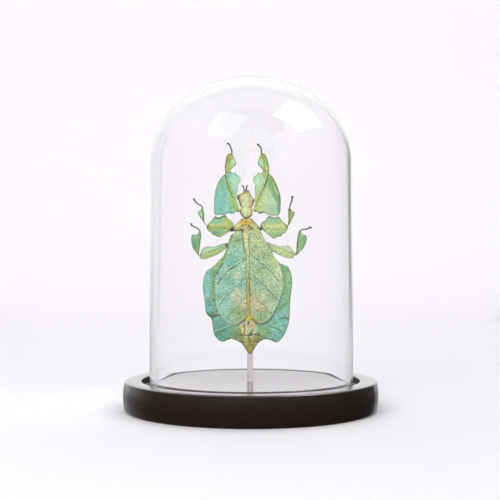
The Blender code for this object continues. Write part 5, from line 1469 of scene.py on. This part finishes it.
def room_light():
    """Light from all round: bright behind the object and above it, dim before and below it."""
    world = bpy.data.worlds.new("soft room light")
    bpy.context.scene.world = world
    world.use_nodes = True
    backing = world.node_tree.nodes["Background"]
    toward = add_node(world, "TexCoord").outputs["Generated"]
    axes = add_node(world, "SeparateXYZ", {0: toward})
    back = add_node(world, "MapRange", {"Value": axes.outputs[1], "From Min": 0.0, "From Max": 0.9,
                                        "To Min": ROOM_FRONT, "To Max": ROOM_BACK},
                    interpolation_type="SMOOTHSTEP")
    up = add_node(world, "MapRange", {"Value": axes.outputs[2], "From Min": 0.1, "From Max": 0.7,
                                      "To Min": 0.0, "To Max": ROOM_TOP}, interpolation_type="SMOOTHSTEP")
    down = add_node(world, "MapRange", {"Value": axes.outputs[2], "From Min": -0.1, "From Max": 0.02,
                                        "To Min": ROOM_BELOW, "To Max": 1.0})
    around = add_node(world, "Math", {0: axes.outputs[0], 1: axes.outputs[1]}, operation="ARCTAN2")
    sides = []
    for start, full, share in ROOM_SIDES:
        sides.append(add_node(world, "MapRange", {
            "Value": around.outputs[0], "From Min": math.radians(start), "From Max": math.radians(full),
            "To Min": 1.0, "To Max": share}, interpolation_type="SMOOTHSTEP").outputs[0])
    both = add_node(world, "Math", {0: sides[0], 1: sides[1]}, operation="MULTIPLY")
    behind = add_node(world, "Math", {0: back.outputs[0], 1: both.outputs[0]}, operation="MULTIPLY")
    low = add_node(world, "MapRange", {"Value": axes.outputs[2], "From Min": 0.35, "From Max": 0.65,
                                       "To Min": ROOM_LOW, "To Max": ROOM_HIGH},
                   interpolation_type="SMOOTHSTEP")
    near = add_node(world, "Math", {0: down.outputs[0], 1: low.outputs[0]}, operation="MULTIPLY")
    level = add_node(world, "Math", {0: behind.outputs[0], 1: near.outputs[0]}, operation="MULTIPLY")
    total = add_node(world, "Math", {0: level.outputs[0], 1: up.outputs[0]}, operation="MAXIMUM")
    world.node_tree.links.new(total.outputs[0], backing.inputs["Strength"])
    backing.inputs["Color"].default_value = (1.0, 1.0, 1.0, 1.0)


def studio():
    """Two lights fill the room unseen; two windows show as glints and light nothing matt."""
    room_light()
    backdrop(matt_paper())
    key = soft_light("key", (-400.0, -980.0, 480.0), size=(700.0, 700.0), power=6.7)
    back = soft_light("backdrop light", (0.0, 500.0, 1300.0), size=(1600.0, 300.0), power=5.4,
                      aim=(0.0, 1400.0, 250.0))
    for light in (key, back):
        light.visible_glossy = False
        light.visible_transmission = False
    window = soft_light("window", (563.0, -77.0, 847.0), size=(600.0, 520.0), power=5.6)
    far_window = soft_light("far window", (-490.0, -600.0, 1000.0), size=(620.0, 760.0), power=2.1)
    for light in (window, far_window):
        light.visible_diffuse = False
    far_window.visible_glossy = False
    bpy.context.scene.view_settings.view_transform = "Standard"


def camera():
    lens = bpy.data.cameras.new("photo_view")
    lens.lens = VIEW_LENS
    lens.sensor_width = 36.0
    lens.shift_x, lens.shift_y = VIEW_SHIFT
    lens.dof.use_dof = False
    lens.clip_start = 0.01
    view = bpy.data.objects.new("photo_view", lens)
    view.location = Vector((0.0, -VIEW_DISTANCE, VIEW_HEIGHT)) * MM
    view.rotation_euler = (math.radians(90.0), 0.0, 0.0)
    bpy.context.scene.collection.objects.link(view)
    bpy.context.scene.camera = view


def main():
    camera()
    studio()
    base(satin_black_paint())
    glass_dome(clear_blown_glass())
    support_rod(clear_cast_acrylic())
    shield = dried_chitin("dried chitin, waxy", cell=0.5, contrast=0.24, rough=0.5, relief=0.03)
    back = dried_chitin("dried chitin, hard and pitted", cell=0.45, contrast=0.44, rough=0.48, relief=0.04)
    wing = dried_chitin("dried leathery wing", cell=0.5, contrast=0.4, rough=0.62, relief=0.05)
    leafy = dried_chitin("dried leafy margin", cell=0.5, contrast=0.34, rough=0.58, relief=0.04)
    leg = dried_chitin("dried leg lobe", cell=0.45, contrast=0.22, rough=0.56, relief=0.04)
    shin = dried_chitin("dried shin lobe", cell=0.45, contrast=0.3, rough=0.55, relief=0.03)
    horn = dried_chitin("dried horny foot", cell=0.2, contrast=0.25, rough=0.4, relief=0.015)
    head(shield, dark_eye())
    antennae(horn)
    pronotum(shield)
    thorax(back)
    forewing_left(wing)
    forewing_right(wing)
    abdomen(leafy)
    fore_femora(leg)
    fore_shins(shin)
    mid_femora(leg)
    mid_shins(shin)
    hind_femora(leg)
    hind_shins(shin)
    feet(horn)


main()
